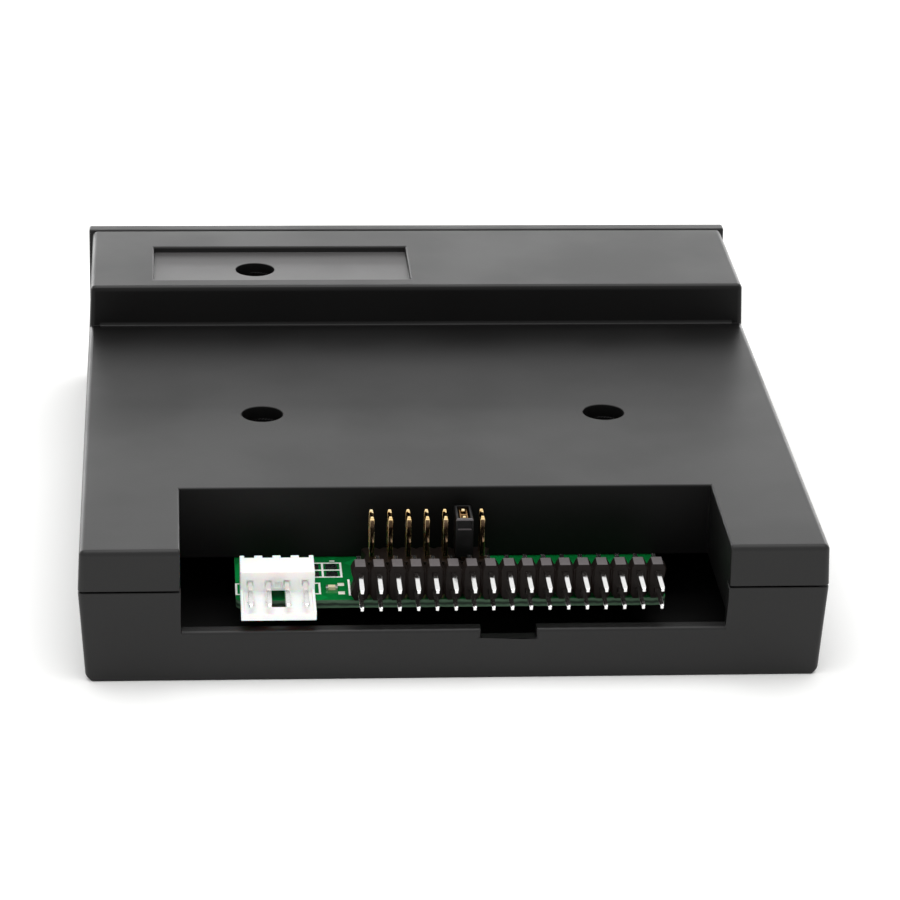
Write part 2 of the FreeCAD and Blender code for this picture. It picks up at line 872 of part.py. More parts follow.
def power_bend_y():
    """Where the power posts turn down, in the comb at the back of the block."""
    return rear_y - power_face_setback - power_block_length + power_comb_depth / 2


def power_socket_housing():
    """The white moulding: a block with a comb behind, and a plate with a window under the posts."""
    x0 = power_x - power_width / 2
    x1 = power_x + power_width / 2
    face_y = rear_y - power_face_setback
    back_y = face_y - power_block_length
    end_y = rear_y - power_end_setback
    plate_top = board_top + power_plate_thick
    top = board_top + power_block_height
    solids = [block(x0, x1, back_y, face_y, board_top, top), block(x0, x1, face_y, end_y, board_top, plate_top)]
    for left in (x0, x1 - power_rail_width):
        solids.append(block(left, left + power_rail_width, face_y, end_y, plate_top,
                            plate_top + power_rail_height))
    body = fuse(solids)
    post_z = board_top + power_post_height
    half = pin_size / 2
    tools = []
    for x in power_posts_x():
        tools.append(block(x - power_comb_width / 2, x + power_comb_width / 2, back_y - margin,
                           back_y + power_comb_depth, board_top - margin, top + margin))
        tools.append(block(x - half, x + half, back_y, face_y + margin, post_z - half, post_z + half))
        tools.append(post_mouth(x, face_y, post_z))
        tools.append(block(x - power_groove_width / 2, x + power_groove_width / 2, face_y + power_groove_start,
                           end_y - power_groove_end, plate_top - power_groove_depth, plate_top + margin))
    tools += power_window(face_y, plate_top)
    return cut(body, tools)


def power_window(face_y, plate_top):
    """The window in the plate, which runs on under the block, and the dent in the block's face above it."""
    half = power_window_width / 2
    half_dent = power_dent_width / 2
    dent_z = board_top + power_dent_low
    return [block(power_x - half, power_x + half, face_y - power_undercut, face_y + power_window_length,
                  board_top - margin, plate_top + power_undercut_rise),
            block(power_x - half_dent, power_x + half_dent, face_y - power_dent_depth, face_y + margin,
                  dent_z, dent_z + power_dent_height)]


def post_mouth(x, face_y, z):
    """The flared mouth in the block's face where a post comes out."""
    half = pin_size / 2
    return frustum(Vector(x, face_y - power_mouth, z), half, half, -power_mouth, power_mouth, 0)


def power_socket_pins():
    """The four posts of the power socket, bent down to the board."""
    tip_y = rear_y - power_tip_setback
    post_z = board_top + power_post_height
    return group([bent_post(x, tip_y, post_z, power_bend_y()) for x in power_posts_x()])


# Circuit board

def main_board():
    """The long board from the bay to the bezel, holed for the case screws."""
    half = board_width / 2
    board = block(-half, half, board_front_y, board_rear_y, board_bottom, board_top)
    board = round_edges(board, board_corner, lambda box: near(box.ZLength, board_thick))
    screws = [rod(screw_hole, x, y, board_bottom - margin, board_top + margin) for x, y in screw_places]
    return cut(board, screws)


def gull_lead(origin, outward, along, height, width):
    """One bent lead from a chip's side down to the board; origin is on the side face over the board."""
    profile = ((0, height), (lead_foot, height), (lead_foot, lead_thick), (lead_reach, lead_thick),
               (lead_reach, 0), (lead_foot - lead_thick, 0), (lead_foot - lead_thick, height - lead_thick),
               (0, height - lead_thick))
    start = origin - along * (width / 2)
    points = [start + outward * reach + Vector(0, 0, z) for reach, z in profile]
    return extrude(points, along * width)


def lead_height(thick):
    """Height of a lead's top over the board, at the middle of a package."""
    return chip_standoff + (thick + lead_thick) / 2


def chip_body(x, y, size_x, size_y, thick):
    """A moulded package: an upright band where the leads leave, and sides that slope in above and below it."""
    band_top = board_top + lead_height(thick)
    band_low = band_top - lead_thick
    half_x = size_x / 2
    half_y = size_y / 2
    slope_height = (thick - lead_thick) / 2
    band = block(x - half_x, x + half_x, y - half_y, y + half_y, band_low, band_top)
    upper = frustum(Vector(x, y, band_top), half_x, half_y, lead_thick, slope_height, 90)
    lower = frustum(Vector(x, y, band_low), half_x, half_y, lead_thick, slope_height, -90)
    return fuse([band, upper, lower])


def side_leads(x, y, reach, outward, shifts, thick, width):
    """The leads on one side of a package, at the given shifts along that side."""
    along = Vector(-outward.y, outward.x, 0)
    start = Vector(x, y, board_top) + outward * reach
    return [gull_lead(start + along * shift, outward, along, lead_height(thick), width) for shift in shifts]


def microcontroller():
    """The square controller's package."""
    return chip_body(mcu_x, rear_y - mcu_offset, mcu_size, mcu_size, mcu_thick)


def microcontroller_leads():
    """The controller's leads, on four sides."""
    leads = []
    shifts = spread(mcu_lead_count, mcu_lead_pitch)
    for outward in (Vector(1, 0, 0), Vector(0, 1, 0), Vector(-1, 0, 0), Vector(0, -1, 0)):
        leads += side_leads(mcu_x, rear_y - mcu_offset, mcu_size / 2, outward, shifts, mcu_thick, mcu_lead_width)
    return group(leads)


def logic_chips():
    """The packages of the two driver chips for the drive header."""
    return group([chip_body(x, rear_y - logic_offset, logic_length, logic_width, logic_thick) for x in logic_x])


def logic_chip_leads():
    """The driver chips' leads, on two sides of each."""
    leads = []
    shifts = spread(logic_lead_count, logic_lead_pitch)
    for x in logic_x:
        for outward in (Vector(0, 1, 0), Vector(0, -1, 0)):
            leads += side_leads(x, rear_y - logic_offset, logic_width / 2, outward, shifts, logic_thick,
                                logic_lead_width)
    return group(leads)


def voltage_regulator():
    """The regulator's package."""
    return chip_body(regulator_x, rear_y - regulator_offset, regulator_length, regulator_width, regulator_thick)


def voltage_regulator_leads():
    """The regulator's three leads on one side and its wide tab on the other."""
    y = rear_y - regulator_offset
    reach = regulator_width / 2
    shifts = spread(regulator_lead_count, regulator_lead_pitch)
    leads = side_leads(regulator_x, y, reach, Vector(0, 1, 0), shifts, regulator_thick, regulator_lead_width)
    leads += side_leads(regulator_x, y, reach, Vector(0, -1, 0), (0,), regulator_thick, regulator_tab_width)
    return group(leads)


def stadium(x, y, length, width, z0, z1):
    """A slot-shaped solid lying along Y."""
    radius = width / 2
    reach = length / 2 - radius
    middle = block(x - radius, x + radius, y - reach, y + reach, z0, z1)
    return fuse([middle, rod(radius, x, y - reach, z0, z1), rod(radius, x, y + reach, z0, z1)])


def crystal():
    """The crystal's drawn can on its flange."""
    y = rear_y - crystal_offset
    base_z = board_top + crystal_flange_thick
    top_z = board_top + crystal_height
    length = crystal_length - 2 * crystal_flange
    can = stadium(crystal_x, y, length, crystal_width - 2 * crystal_flange, base_z, top_z)
    return fuse([can, stadium(crystal_x, y, crystal_length, crystal_width, board_top, base_z)])


def electrolytic_capacitors():
    """The aluminium cans on their bases."""
    cans = []
    for x, offset in capacitor_positions:
        y = rear_y - offset
        z0 = board_top + capacitor_base_thick
        cans.append(rod(capacitor_radius, x, y, z0, board_top + capacitor_height))
    return group(cans)


def capacitor_bases():
    """The black square bases under the cans, with two corners cut."""
    bases = []
    half = capacitor_base / 2
    bevel = capacitor_base / 5
    for x, offset in capacitor_positions:
        y = rear_y - offset
        outline = [Vector(x - half, y - half, board_top), Vector(x + half, y - half, board_top),
                   Vector(x + half, y + half - bevel, board_top), Vector(x + half - bevel, y + half, board_top),
                   Vector(x - half + bevel, y + half, board_top), Vector(x - half, y + half - bevel, board_top)]
        bases.append(extrude(outline, Vector(0, 0, capacitor_base_thick)))
    return group(bases)


def resistor_places():
    """Centres of the chip resistors: the pair in the bay and the row beside the controller."""
    places = [(bay_gap_x + resistor_bay_shift, rear_y - offset) for offset in resistor_bay_offsets]
    row_y = rear_y - resistor_row_offset
    return places + [(resistor_row_x, row_y + shift) for shift in spread(resistor_count, chip_row_pitch)]


def chip_capacitor_places():
    """Centres of the chip capacitors: one in the bay and a row by the controller."""
    row_y = rear_y - capacitor_row_offset
    places = [(capacitor_row_x, row_y + shift) for shift in spread(capacitor_count, chip_row_pitch)]
    return places + [(bay_gap_x, rear_y - capacitor_bay_offset)]


def chip_middle(x, y):
    """The ceramic middle of a chip part, lying along X."""
    half = chip_length / 2 - chip_cap
    return block(x - half, x + half, y - chip_width / 2, y + chip_width / 2, board_top, board_top + chip_thick)


def chip_resistors():
    """The bodies of the chip resistors."""
    return group([chip_middle(x, y) for x, y in resistor_places()])


def chip_capacitors():
    """The bodies of the chip capacitors."""
    return group([chip_middle(x, y) for x, y in chip_capacitor_places()])


def chip_end_caps():
    """The tinned ends of every chip part, and the bare tinned pads in the bay."""
    caps = []
    for x, y in resistor_places() + chip_capacitor_places():
        for side in (-1, 1):
            x0, x1 = sorted((x + side * (chip_length / 2 - chip_cap), x + side * chip_length / 2))
            caps.append(block(x0, x1, y - chip_width / 2, y + chip_width / 2, board_top, board_top + chip_thick))
    half = pad_size / 2
    x = bay_gap_x - bay_pad_shift
    for offset in bay_pad_offsets:
        y = rear_y - offset
        caps.append(block(x - half, x + half, y - half, y + half, board_top, board_top + pad_thick))
    return group(caps)


# Buttons and switches

def switch_front_y():
    """Front face of the switch bodies."""
    return bezel_back_y + switch_front_gap


def button_cap(x):
    """One push button: a round cap, the square flange that keeps it in, and a stem to the switch."""
    front_y = bezel_front_y - button_proud
    flange_end = bezel_back_y + button_flange_thick
    cap = rod_y(button_radius, x, front_y, flange_end, front_axis_z)
    half = button_flange_half
    flange = block(x - half, x + half, bezel_back_y, flange_end, front_axis_z - half, front_axis_z + half)
    stem_end = switch_front_y() - switch_plunger_proud
    stem = rod_y(button_stem_radius, x, bezel_back_y, stem_end, front_axis_z)
    return fuse([cap, flange, stem])


def switch_plunger(x):
    """The switch's own plunger, behind the button's stem."""
    y0 = switch_front_y() - switch_plunger_proud
    return rod_y(switch_plunger_radius, x, y0, switch_front_y() + switch_plunger_depth, front_axis_z)


def switch_bodies():
    """The two switch bodies, standing on the board, each hollowed for its plunger."""
    half = switch_size / 2
    y0 = switch_front_y() + switch_frame_thick
    y1 = switch_front_y() + switch_depth
    bore_end = switch_front_y() + switch_plunger_depth + button_travel + clearance
    bodies = []
    for x in button_x:
        body = block(x - half, x + half, y0, y1, front_axis_z - half, front_axis_z + half)
        bodies.append(cut(body, [plunger_room(x, bore_end)]))
    return group(bodies)


def plunger_room(x, y_end):
    """The square way through a switch that its plunger moves in."""
    half = switch_plunger_radius + button_clearance
    return block(x - half, x + half, switch_front_y() - margin, y_end, front_axis_z - half, front_axis_z + half)


def switch_frames():
    """The steel face plates of the switches, with side ears that stand on the board."""
    frames = []
    half = switch_size / 2
    y0 = switch_front_y()
    y1 = y0 + switch_depth
    for x in button_x:
        plate = block(x - half, x + half, y0, y0 + switch_frame_thick, front_axis_z - half, front_axis_z + half)
        ears = []
        for side in (-1, 1):
            x0, x1 = sorted((x + side * half, x + side * (half + switch_frame_thick)))
            ears.append(block(x0, x1, y0, y1, board_top, front_axis_z + half))
        frames.append(cut(fuse([plate] + ears), [plunger_room(x, y1)]))
    return group(frames)


def switch_legs():
    """The short feet between the switch bodies and the board."""
    y = switch_front_y() + switch_depth / 2
    half = switch_foot_width / 2
    top = front_axis_z - switch_size / 2
    places = [middle + shift for middle in button_x for shift in spread(2, switch_foot_spacing)]
    return group([block(x - half, x + half, y - half, y + half, board_top, top) for x in places])


def lamp_back_y():
    """The back of the lamp's flange."""
    return bezel_back_y + lamp_flange_thick


def activity_lamp():
    """The round lamp lying on its side, with its end in the bezel and a flange behind it."""
    back_y = lamp_back_y()
    body = rod_y(lamp_radius, lamp_x, bezel_front_y - lamp_proud, back_y, front_axis_z)
    flange = rod_y(lamp_flange_radius, lamp_x, back_y - lamp_flange_thick, back_y, front_axis_z)
    return fuse([body, flange])


def lamp_leads():
    """The lamp's two leads, bent down to the board."""
    leads = []
    half = lamp_lead / 2
    y = lamp_back_y() + lamp_lead * 3
    for x in [lamp_x + shift for shift in spread(2, lamp_lead_spacing)]:
        near_x = lamp_x + (lamp_radius - half) * (1 if x > lamp_x else -1)
        across_x0, across_x1 = min(x, near_x) - half, max(x, near_x) + half
        run = block(across_x0, across_x1, lamp_back_y(), y + half, front_axis_z - half, front_axis_z + half)
        drop = block(x - half, x + half, y - half, y + half, board_top, front_axis_z)
        leads.append(fuse([run, drop]))
    return group(leads)


# Socket for the memory stick

def usb_front_y():
    """Front edge of the socket's shell, a little inside the bezel's face."""
    return bezel_front_y + usb_recess


def usb_hole():
    """The opening in the bezel round the socket's shell."""
    grow = usb_hole_clearance
    return block(usb_x - usb_width / 2 - grow, usb_x + usb_width / 2 + grow, bezel_front_y - margin,
                 bezel_back_y + rim_depth + margin, board_top - grow, board_top + usb_height + grow)


def usb_shell():
    """The folded steel shell with spring tabs at the top."""
    x0 = usb_x - usb_width / 2
    x1 = usb_x + usb_width / 2
    y0 = usb_front_y()
    y1 = y0 + usb_depth
    z0 = board_top
    z1 = z0 + usb_height
    tube = block(x0, x1, y0, y1, z0, z1)
    tube = round_edges(tube, usb_sheet * 2, lambda box: near(box.YLength, usb_depth))
    room = block(x0 + usb_sheet, x1 - usb_sheet, y0 - margin, y1 - usb_sheet, z0 + usb_sheet, z1 - usb_sheet)
    shell = cut(tube, [room])
    leg_room = usb_tongue_width / 2
    tools = [block(usb_x - leg_room, usb_x + leg_room, y1 - usb_core_depth, y1 + margin, z0 - margin, z0 + margin)]
    half = usb_tab_width / 2
    for shift in (-usb_width / 4, usb_width / 4):
        x = usb_x + shift
        tools.append(block(x - half - usb_tab_spring, x + half + usb_tab_spring, y0 + 2 * usb_tab_width,
                           y0 + 4 * usb_tab_width, z1 - 2 * usb_sheet, z1 + margin))
    shell = cut(shell, tools)
    solids = [shell]
    for shift in (-usb_width / 4, usb_width / 4):
        x = usb_x + shift
        solids.append(usb_spring(x, y0 + 2 * usb_tab_width, y0 + 4 * usb_tab_width, z1))
    return fuse(solids)


def usb_spring(x, y0, y1, z_top):
    """A spring tab in the shell's roof, bent a little inwards at its free end."""
    half = usb_tab_width / 2
    low = z_top - usb_tab_spring
    x0 = x - half
    outline = [Vector(x0, y1 + usb_sheet / 2, z_top), Vector(x0, y0 + usb_tab_spring, low),
               Vector(x0, y0 + usb_tab_spring, low - usb_sheet), Vector(x0, y1 + usb_sheet / 2, z_top - usb_sheet)]
    return extrude(outline, Vector(usb_tab_width, 0, 0))


def usb_tongue_span():
    """The tongue's underside and top inside the shell."""
    middle = board_top + usb_height / 2
    low = middle + usb_tongue_thick / 4
    return low, low + usb_tongue_thick


def usb_tongue():
    """The plastic core at the back of the shell with the tongue that carries the contacts."""
    half = usb_width / 2 - usb_sheet - clearance
    back_y = usb_front_y() + usb_depth - usb_sheet
    core_y = back_y - usb_core_depth
    z0 = board_top + usb_sheet + clearance
    z1 = board_top + usb_height - usb_sheet - clearance - usb_tab_spring
    core = block(usb_x - half, usb_x + half, core_y, back_y, z0, z1)
    low, high = usb_tongue_span()
    tongue = block(usb_x - usb_tongue_width / 2, usb_x + usb_tongue_width / 2, core_y - usb_tongue_length, core_y,
                   low, high)
    return fuse([core, tongue]).cut(usb_contacts())


def usb_contacts():
    """Four contact strips under the tongue that run back and down to the board."""
    strips = []
    half = usb_contact_width / 2
    tail = pin_size / 2
    low = usb_tongue_span()[0]
    leg_y = usb_front_y() + usb_depth - usb_core_depth / 2
    front_y = leg_y - usb_core_depth / 2 - usb_tongue_length + usb_contact_width
    for x in [usb_x + shift for shift in spread(usb_posts, usb_contact_pitch)]:
        strip = block(x - half, x + half, front_y, leg_y + tail, low - usb_contact_thick / 2,
                      low + usb_contact_thick / 2)
        leg = block(x - tail, x + tail, leg_y - tail, leg_y + tail, board_top, low)
        strips.append(fuse([strip, leg]))
    return group(strips)


# Digit display

def display_front_y():
    """Front face of the display's housing."""
    return bezel_back_y + display_gap


def display_housing():
    """The dark block of the display with a shallow frame round its face."""
    half_x = display_width / 2
    half_z = display_height / 2
    y0 = display_front_y()
    body = block(display_x - half_x, display_x + half_x, y0, y0 + display_depth,
                 display_centre_height - half_z, display_centre_height + half_z)
    border = segment_width
    face = block(display_x - half_x + border, display_x + half_x - border, y0 - margin, y0 + segment_thick,
                 display_centre_height - half_z + border, display_centre_height + half_z - border)
    return cut(body, [face])


def bar(x, z, flat):
    """One display bar with pointed ends, lying flat or standing."""
    long_half = segment_height / 2 - segment_gap
    short_half = segment_width / 2
    straight = long_half - short_half
    profile = [(-long_half, 0), (-straight, -short_half), (straight, -short_half),
               (long_half, 0), (straight, short_half), (-straight, short_half)]
    y = display_front_y()
    if flat:
        points = [Vector(x + a, y, z + b) for a, b in profile]
    else:
        points = [Vector(x + b, y, z + a) for a, b in profile]
    return extrude(points, Vector(0, segment_thick, 0))


def display_segments():
    """The bars of every digit and its point."""
    bars = []
    z = display_centre_height
    half = segment_height / 2
    for i in range(display_digits):
        x = display_x + (i - (display_digits - 1) / 2) * digit_pitch
        bars += [bar(x, z + level, True) for level in (-segment_height, 0, segment_height)]
        bars += [bar(x + side * half, z + level, False) for side in (-1, 1) for level in (-half, half)]
        point_x = x + half + 2 * segment_width
        point_z = z - segment_height
        reach = segment_width / 2
        bars.append(block(point_x - reach, point_x + reach, display_front_y(), display_front_y() + segment_thick,
                          point_z - reach, point_z + reach))
    return group(bars)


def display_board():
    """The small upright board behind the display, bored for the link posts."""
    y0 = display_front_y() + display_depth
    board = block(display_x - display_board_width / 2, display_x + display_board_width / 2, y0,
                  y0 + display_board_thick, board_top, board_top + display_board_height)
    board = round_edges(board, board_corner / 2, lambda box: near(box.YLength, display_board_thick))
    return cut(board, [display_link_pins()])


def link_columns_x():
    """X of each post between the two boards."""
    return [link_x + shift for shift in spread(link_pins, pitch)]


def link_tail_y():
    """Where the link posts turn down into the main board."""
    return display_front_y() + display_depth + display_board_thick + link_reach


def display_link_pins():
    """The posts that join the upright board to the main board."""
    half = pin_size / 2
    y0 = display_front_y() + display_depth
    y1 = link_tail_y()
    z = board_top + link_height
    posts = []
    for x in link_columns_x():
        outline = [Vector(x - half, y0, z - half), Vector(x - half, y1 - half, z - half),
                   Vector(x - half, y1 - half, board_top), Vector(x - half, y1 + half, board_top),
                   Vector(x - half, y1 + half, z + half), Vector(x - half, y0, z + half)]
        posts.append(extrude(outline, Vector(pin_size, 0, 0)))
    return group(posts)


# Writing the nodes

nodes = {
    "top_cover": top_cover(),
    "bay_walls": bay_walls(),
    "screw_wells": screw_wells(),
    "bottom_tray": bottom_tray(),
    "front_bezel": front_bezel(),
    "display_window": display_window(),
    "case_screws": case_screws(),
    "main_board": main_board(),
    "drive_header_body": drive_header_body(),
    "drive_header_pins": drive_header_pins(),
    "jumper_header_body": jumper_header_body(),
    "jumper_header_pins": jumper_header_pins(),
    "jumper_shunt_cap": jumper_shunt_cap(),
    "jumper_shunt_clip": jumper_shunt_clip(),
    "power_socket_housing": power_socket_housing(),
    "power_socket_pins": power_socket_pins(),
    "microcontroller": microcontroller(),
    "microcontroller_leads": microcontroller_leads(),
    "logic_chips": logic_chips(),
    "logic_chip_leads": logic_chip_leads(),
    "voltage_regulator": voltage_regulator(),
    "regulator_leads": voltage_regulator_leads(),
    "crystal": crystal(),
    "electrolytic_capacitors": electrolytic_capacitors(),
    "capacitor_bases": capacitor_bases(),
    "chip_resistors": chip_resistors(),
    "chip_capacitors": chip_capacitors(),
    "chip_end_caps": chip_end_caps(),
    "button_left": button_cap(button_x[0]),
    "button_right": button_cap(button_x[1]),
    "switch_plunger_left": switch_plunger(button_x[0]),
    "switch_plunger_right": switch_plunger(button_x[1]),
    "switch_bodies": switch_bodies(),
    "switch_frames": switch_frames(),
    "switch_legs": switch_legs(),
    "activity_lamp": activity_lamp(),
    "lamp_leads": lamp_leads(),
    "usb_shell": usb_shell(),
    "usb_tongue": usb_tongue(),
    "usb_contacts": usb_contacts(),
    "display_housing": display_housing(),
    "display_segments": display_segments(),
    "display_board": display_board(),
    "display_link_pins": display_link_pins(),
}

os.makedirs("parts", exist_ok=True)
for name, shape in nodes.items():
    shape.exportStep(f"parts/{name}.step")
    print(f"{name}: {len(shape.Solids)} solids, {shape.Volume:.1f} mm3, valid {shape.isValid()}")
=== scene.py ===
# %% [markdown]
# # A drive emulator in a 3.5-inch drive case
# The model comes from CAD with every part in its place, in metres. This script gives those parts their
# real finishes and the small forms that only show up close, and sets the studio and the camera.

# %% The frame
import math
import bmesh
import bpy
from mathutils import Matrix, Vector


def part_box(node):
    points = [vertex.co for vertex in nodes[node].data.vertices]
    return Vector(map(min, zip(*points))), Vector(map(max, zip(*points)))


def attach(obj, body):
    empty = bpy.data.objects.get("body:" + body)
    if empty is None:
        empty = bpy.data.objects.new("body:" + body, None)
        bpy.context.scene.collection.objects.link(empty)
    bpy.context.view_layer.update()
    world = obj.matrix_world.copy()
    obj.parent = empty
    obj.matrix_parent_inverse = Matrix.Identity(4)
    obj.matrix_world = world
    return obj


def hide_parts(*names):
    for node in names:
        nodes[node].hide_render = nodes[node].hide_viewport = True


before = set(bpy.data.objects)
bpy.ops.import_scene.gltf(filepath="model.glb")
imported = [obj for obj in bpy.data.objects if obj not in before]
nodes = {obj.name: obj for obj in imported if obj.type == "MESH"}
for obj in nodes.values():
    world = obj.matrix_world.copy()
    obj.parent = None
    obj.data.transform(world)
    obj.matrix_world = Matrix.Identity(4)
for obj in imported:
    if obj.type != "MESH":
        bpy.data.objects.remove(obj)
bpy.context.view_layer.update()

mm = 0.001
print("CAD nodes:", len(nodes))

# %% [markdown]
# Colours are written as the sRGB hex values that a picture shows. Shaders work in linear light, so one
# function turns them.

# %% Colours
def colour(hex_value):
    """An sRGB hex value as linear red, green and blue, with an alpha of 1."""
    parts = [int(hex_value[i:i + 2], 16) / 255 for i in (1, 3, 5)]
    return [part / 12.92 if part <= 0.04045 else ((part + 0.055) / 1.055) ** 2.4 for part in parts] + [1.0]


print("a mid grey in linear light:", round(colour("#808080")[0], 3))

# %% [markdown]
# A finish and a Geometry Nodes tree are both built from nodes. One function adds any node with its
# settings, numbers and links, and a second one starts a material. The Mix node has a set of sockets for
# each kind of data, all with the same names, so the ones for colours are picked by their place in the
# list.

# %% Nodes
mix_a, mix_b, mix_result = 6, 7, 2


def put(tree, kind, sockets=None, **settings):
    """Adds a node. Settings are its own fields; sockets take a number, a colour or another node's output."""
    node = tree.nodes.new(kind)
    for name, value in settings.items():
        setattr(node, name, value)
    for name, value in (sockets or {}).items():
        if isinstance(value, bpy.types.NodeSocket):
            tree.links.new(value, node.inputs[name])
        else:
            node.inputs[name].default_value = value
    return node


def new_finish(name, **sockets):
    """A material, its tree and its shader; sockets are the shader's own, named with _ for spaces."""
    material = bpy.data.materials.new(name)
    material.use_nodes = True
    shader = material.node_tree.nodes["Principled BSDF"]
    for socket, value in sockets.items():
        shader.inputs[socket.replace("_", " ")].default_value = value
    return material, material.node_tree, shader


print("Blender", bpy.app.version_string)

# %% [markdown]
# The photograph is taken from behind the drive, a little above it and a little to one side, from about
# half a metre away. The camera is placed by its direction, its distance and a slight roll, so each number
# can be read. The numbers were matched to the case's corners in the photograph.

# %% Camera
def aim_camera(target, azimuth, elevation, distance, roll, lens):
    """A camera on a sphere about the target; azimuth is measured from +Y towards +X, in radians."""
    away = Vector((math.sin(azimuth) * math.cos(elevation), math.cos(azimuth) * math.cos(elevation),
                   math.sin(elevation)))
    right = (-away).cross(Vector((0, 0, 1))).normalized()
    up = right.cross(-away)
    side = right * math.cos(roll) + up * math.sin(roll)
    top = up * math.cos(roll) - right * math.sin(roll)
    data = bpy.data.cameras.new("photo_camera")
    data.lens = lens
    data.clip_start = 0.01
    data.clip_end = 20
    camera = bpy.data.objects.new("photo_camera", data)
    bpy.context.scene.collection.objects.link(camera)
    turn = Matrix((side, top, away)).transposed().to_4x4()
    camera.matrix_world = Matrix.Translation(target + away * distance) @ turn
    bpy.context.scene.camera = camera
    return camera


photo_target = Vector((-3.416, -1.95, 8.726)) * mm
photo_azimuth, photo_elevation, photo_roll = [math.radians(angle) for angle in (4.476, 22.298, 1.33)]
photo_distance, photo_lens = 577.344 * mm, 154.9
camera = aim_camera(photo_target, photo_azimuth, photo_elevation, photo_distance, photo_roll, photo_lens)
print("camera at", [round(metres, 3) for metres in camera.matrix_world.translation])

# %% [markdown]
# The background is a white sweep, so the floor is pale, the sky is white, and the sweep is brightest low
# down behind the object. Almost all the grey on the black plastic is this white seen in its low gloss:
# the raised top mirrors the bright strip and looks lighter, and the low top behind the step can't see it.

# %% Floor
def studio_floor():
    """A large pale sheet, a hair below the object so that the two don't share a plane."""
    mesh = bpy.data.meshes.new("floor")
    half, drop = 6.0, -0.02 * mm
    mesh.from_pydata([(-half, -half, drop), (half, -half, drop), (half, half, drop), (-half, half, drop)], [],
                     [(0, 1, 2, 3)])
    floor = bpy.data.objects.new("floor", mesh)
    bpy.context.scene.collection.objects.link(floor)
    # Matt paper: white with no highlight, only soft shadows
    paper = new_finish("matt_white_paper", Roughness=0.9, Base_Color=colour("#fbfbfa"))[0]
    mesh.materials.append(paper)
    print("floor:", 2 * half, "m across")


studio_floor()

# %% [markdown]
# The sky lights everything evenly. Two soft boxes are added to it: a wide one overhead, which gives the
# tops of pins and edges their highlights, and the long low strip that the raised top mirrors.

# %% Light
def soft_light(name, place, target, width, height, power):
    """A soft box that faces a point."""
    data = bpy.data.lights.new(name, "AREA")
    data.shape = "RECTANGLE"
    data.size = width
    data.size_y = height
    data.energy = power
    light = bpy.data.objects.new(name, data)
    bpy.context.scene.collection.objects.link(light)
    turn = (Vector(place) - Vector(target)).to_track_quat("Z", "Y").to_matrix().to_4x4()
    light.matrix_world = Matrix.Translation(place) @ turn


world = bpy.data.worlds.new("white_studio")
world.use_nodes = True
world.node_tree.nodes["Background"].inputs["Color"].default_value = colour("#ffffff")
world.node_tree.nodes["Background"].inputs["Strength"].default_value = 1.0
bpy.context.scene.world = world
bpy.context.scene.view_settings.view_transform = "Standard"
soft_light("top_soft_box", place=(0.0, -0.1, 0.9), target=(0, 0, 0), width=0.8, height=0.8, power=3.5)
soft_light("low_back_soft_box", place=(0.0, -1.2, 0.12), target=(0, 0, 0.02), width=2.4, height=0.24,
           power=8.6)
print("lights:", [light.name for light in bpy.data.lights])

# %% [markdown]
# Most surfaces here are moulded, cast or plated, and have the same build: a fine grain that shifts the
# colour a little, broader clouds where the surface is duller or shinier, and a low bump. One function
# makes that from real sizes, so each finish below is only its colours, its gloss and its grain in
# millimetres.

# %% A finish with grain
def grained(name, dark, light, dull, shiny, grain, height, cloud, **sockets):
    """Two colours mixed by the grain, and roughness drifting in clouds; grain, height and cloud are in mm."""
    material, tree, shader = new_finish(name, **sockets)
    place = put(tree, "ShaderNodeTexCoord").outputs["Object"]
    fine = put(tree, "ShaderNodeTexNoise", {"Vector": place, "Scale": 1 / (grain * mm), "Detail": 2.0})
    broad = put(tree, "ShaderNodeTexNoise", {"Vector": place, "Scale": 1 / (cloud * mm), "Detail": 3.0})
    tint = put(tree, "ShaderNodeMix", {"Factor": fine.outputs["Fac"], mix_a: colour(dark),
                                       mix_b: colour(light)}, data_type="RGBA")
    rough = put(tree, "ShaderNodeMapRange", {"Value": broad.outputs["Fac"], "From Min": 0.3, "From Max": 0.7,
                                             "To Min": shiny, "To Max": dull},
                interpolation_type="SMOOTHSTEP")
    bump = put(tree, "ShaderNodeBump", {"Height": fine.outputs["Fac"], "Strength": 1.0,
                                        "Distance": height * mm})
    tree.links.new(tint.outputs[mix_result], shader.inputs["Base Color"])
    tree.links.new(rough.outputs["Result"], shader.inputs["Roughness"])
    tree.links.new(bump.outputs["Normal"], shader.inputs["Normal"])
    return material


print("a grain of 0.25 mm is a noise scale of", 1 / (0.25 * mm))

# %% [markdown]
# The case is injection-moulded ABS, coloured black all through. Its mould was etched, so the surface has
# a fine even grain that turns a gloss into a soft sheen. The real grain is under a tenth of a millimetre;
# it is drawn at a quarter so that it shows. The recess came from an insert with a finer, paler etch. The
# walls of the step and of the bay's back, which face away from the lights, get painted shade: a finish
# nearer black with less gloss. The buttons are a grey ABS. ABS has an IOR of about 1.5. The black ones
# were lowered and the pale one raised until their sheen matched the object's, because an etch scatters
# part of the mirror image away.

# %% Case and button plastic
# An even dark sheen with no sharp highlight
case_abs = grained("etched_black_abs", "#060606", "#0f0e0e", dull=0.44, shiny=0.36, grain=0.25, height=0.006,
                   cloud=22.0, IOR=1.41)
# A flat mid grey
recess_abs = grained("pale_etched_abs", "#454444", "#4e4d4d", dull=0.42, shiny=0.34, grain=0.25, height=0.006,
                     cloud=14.0, IOR=1.6)
# Painted shade: nearly black whatever it faces, for the walls that face away from the lights
shade_wall_abs = grained("dull_etched_black_abs", "#030303", "#090808", dull=0.5, shiny=0.42, grain=0.25,
                  height=0.006, cloud=22.0, IOR=1.28)
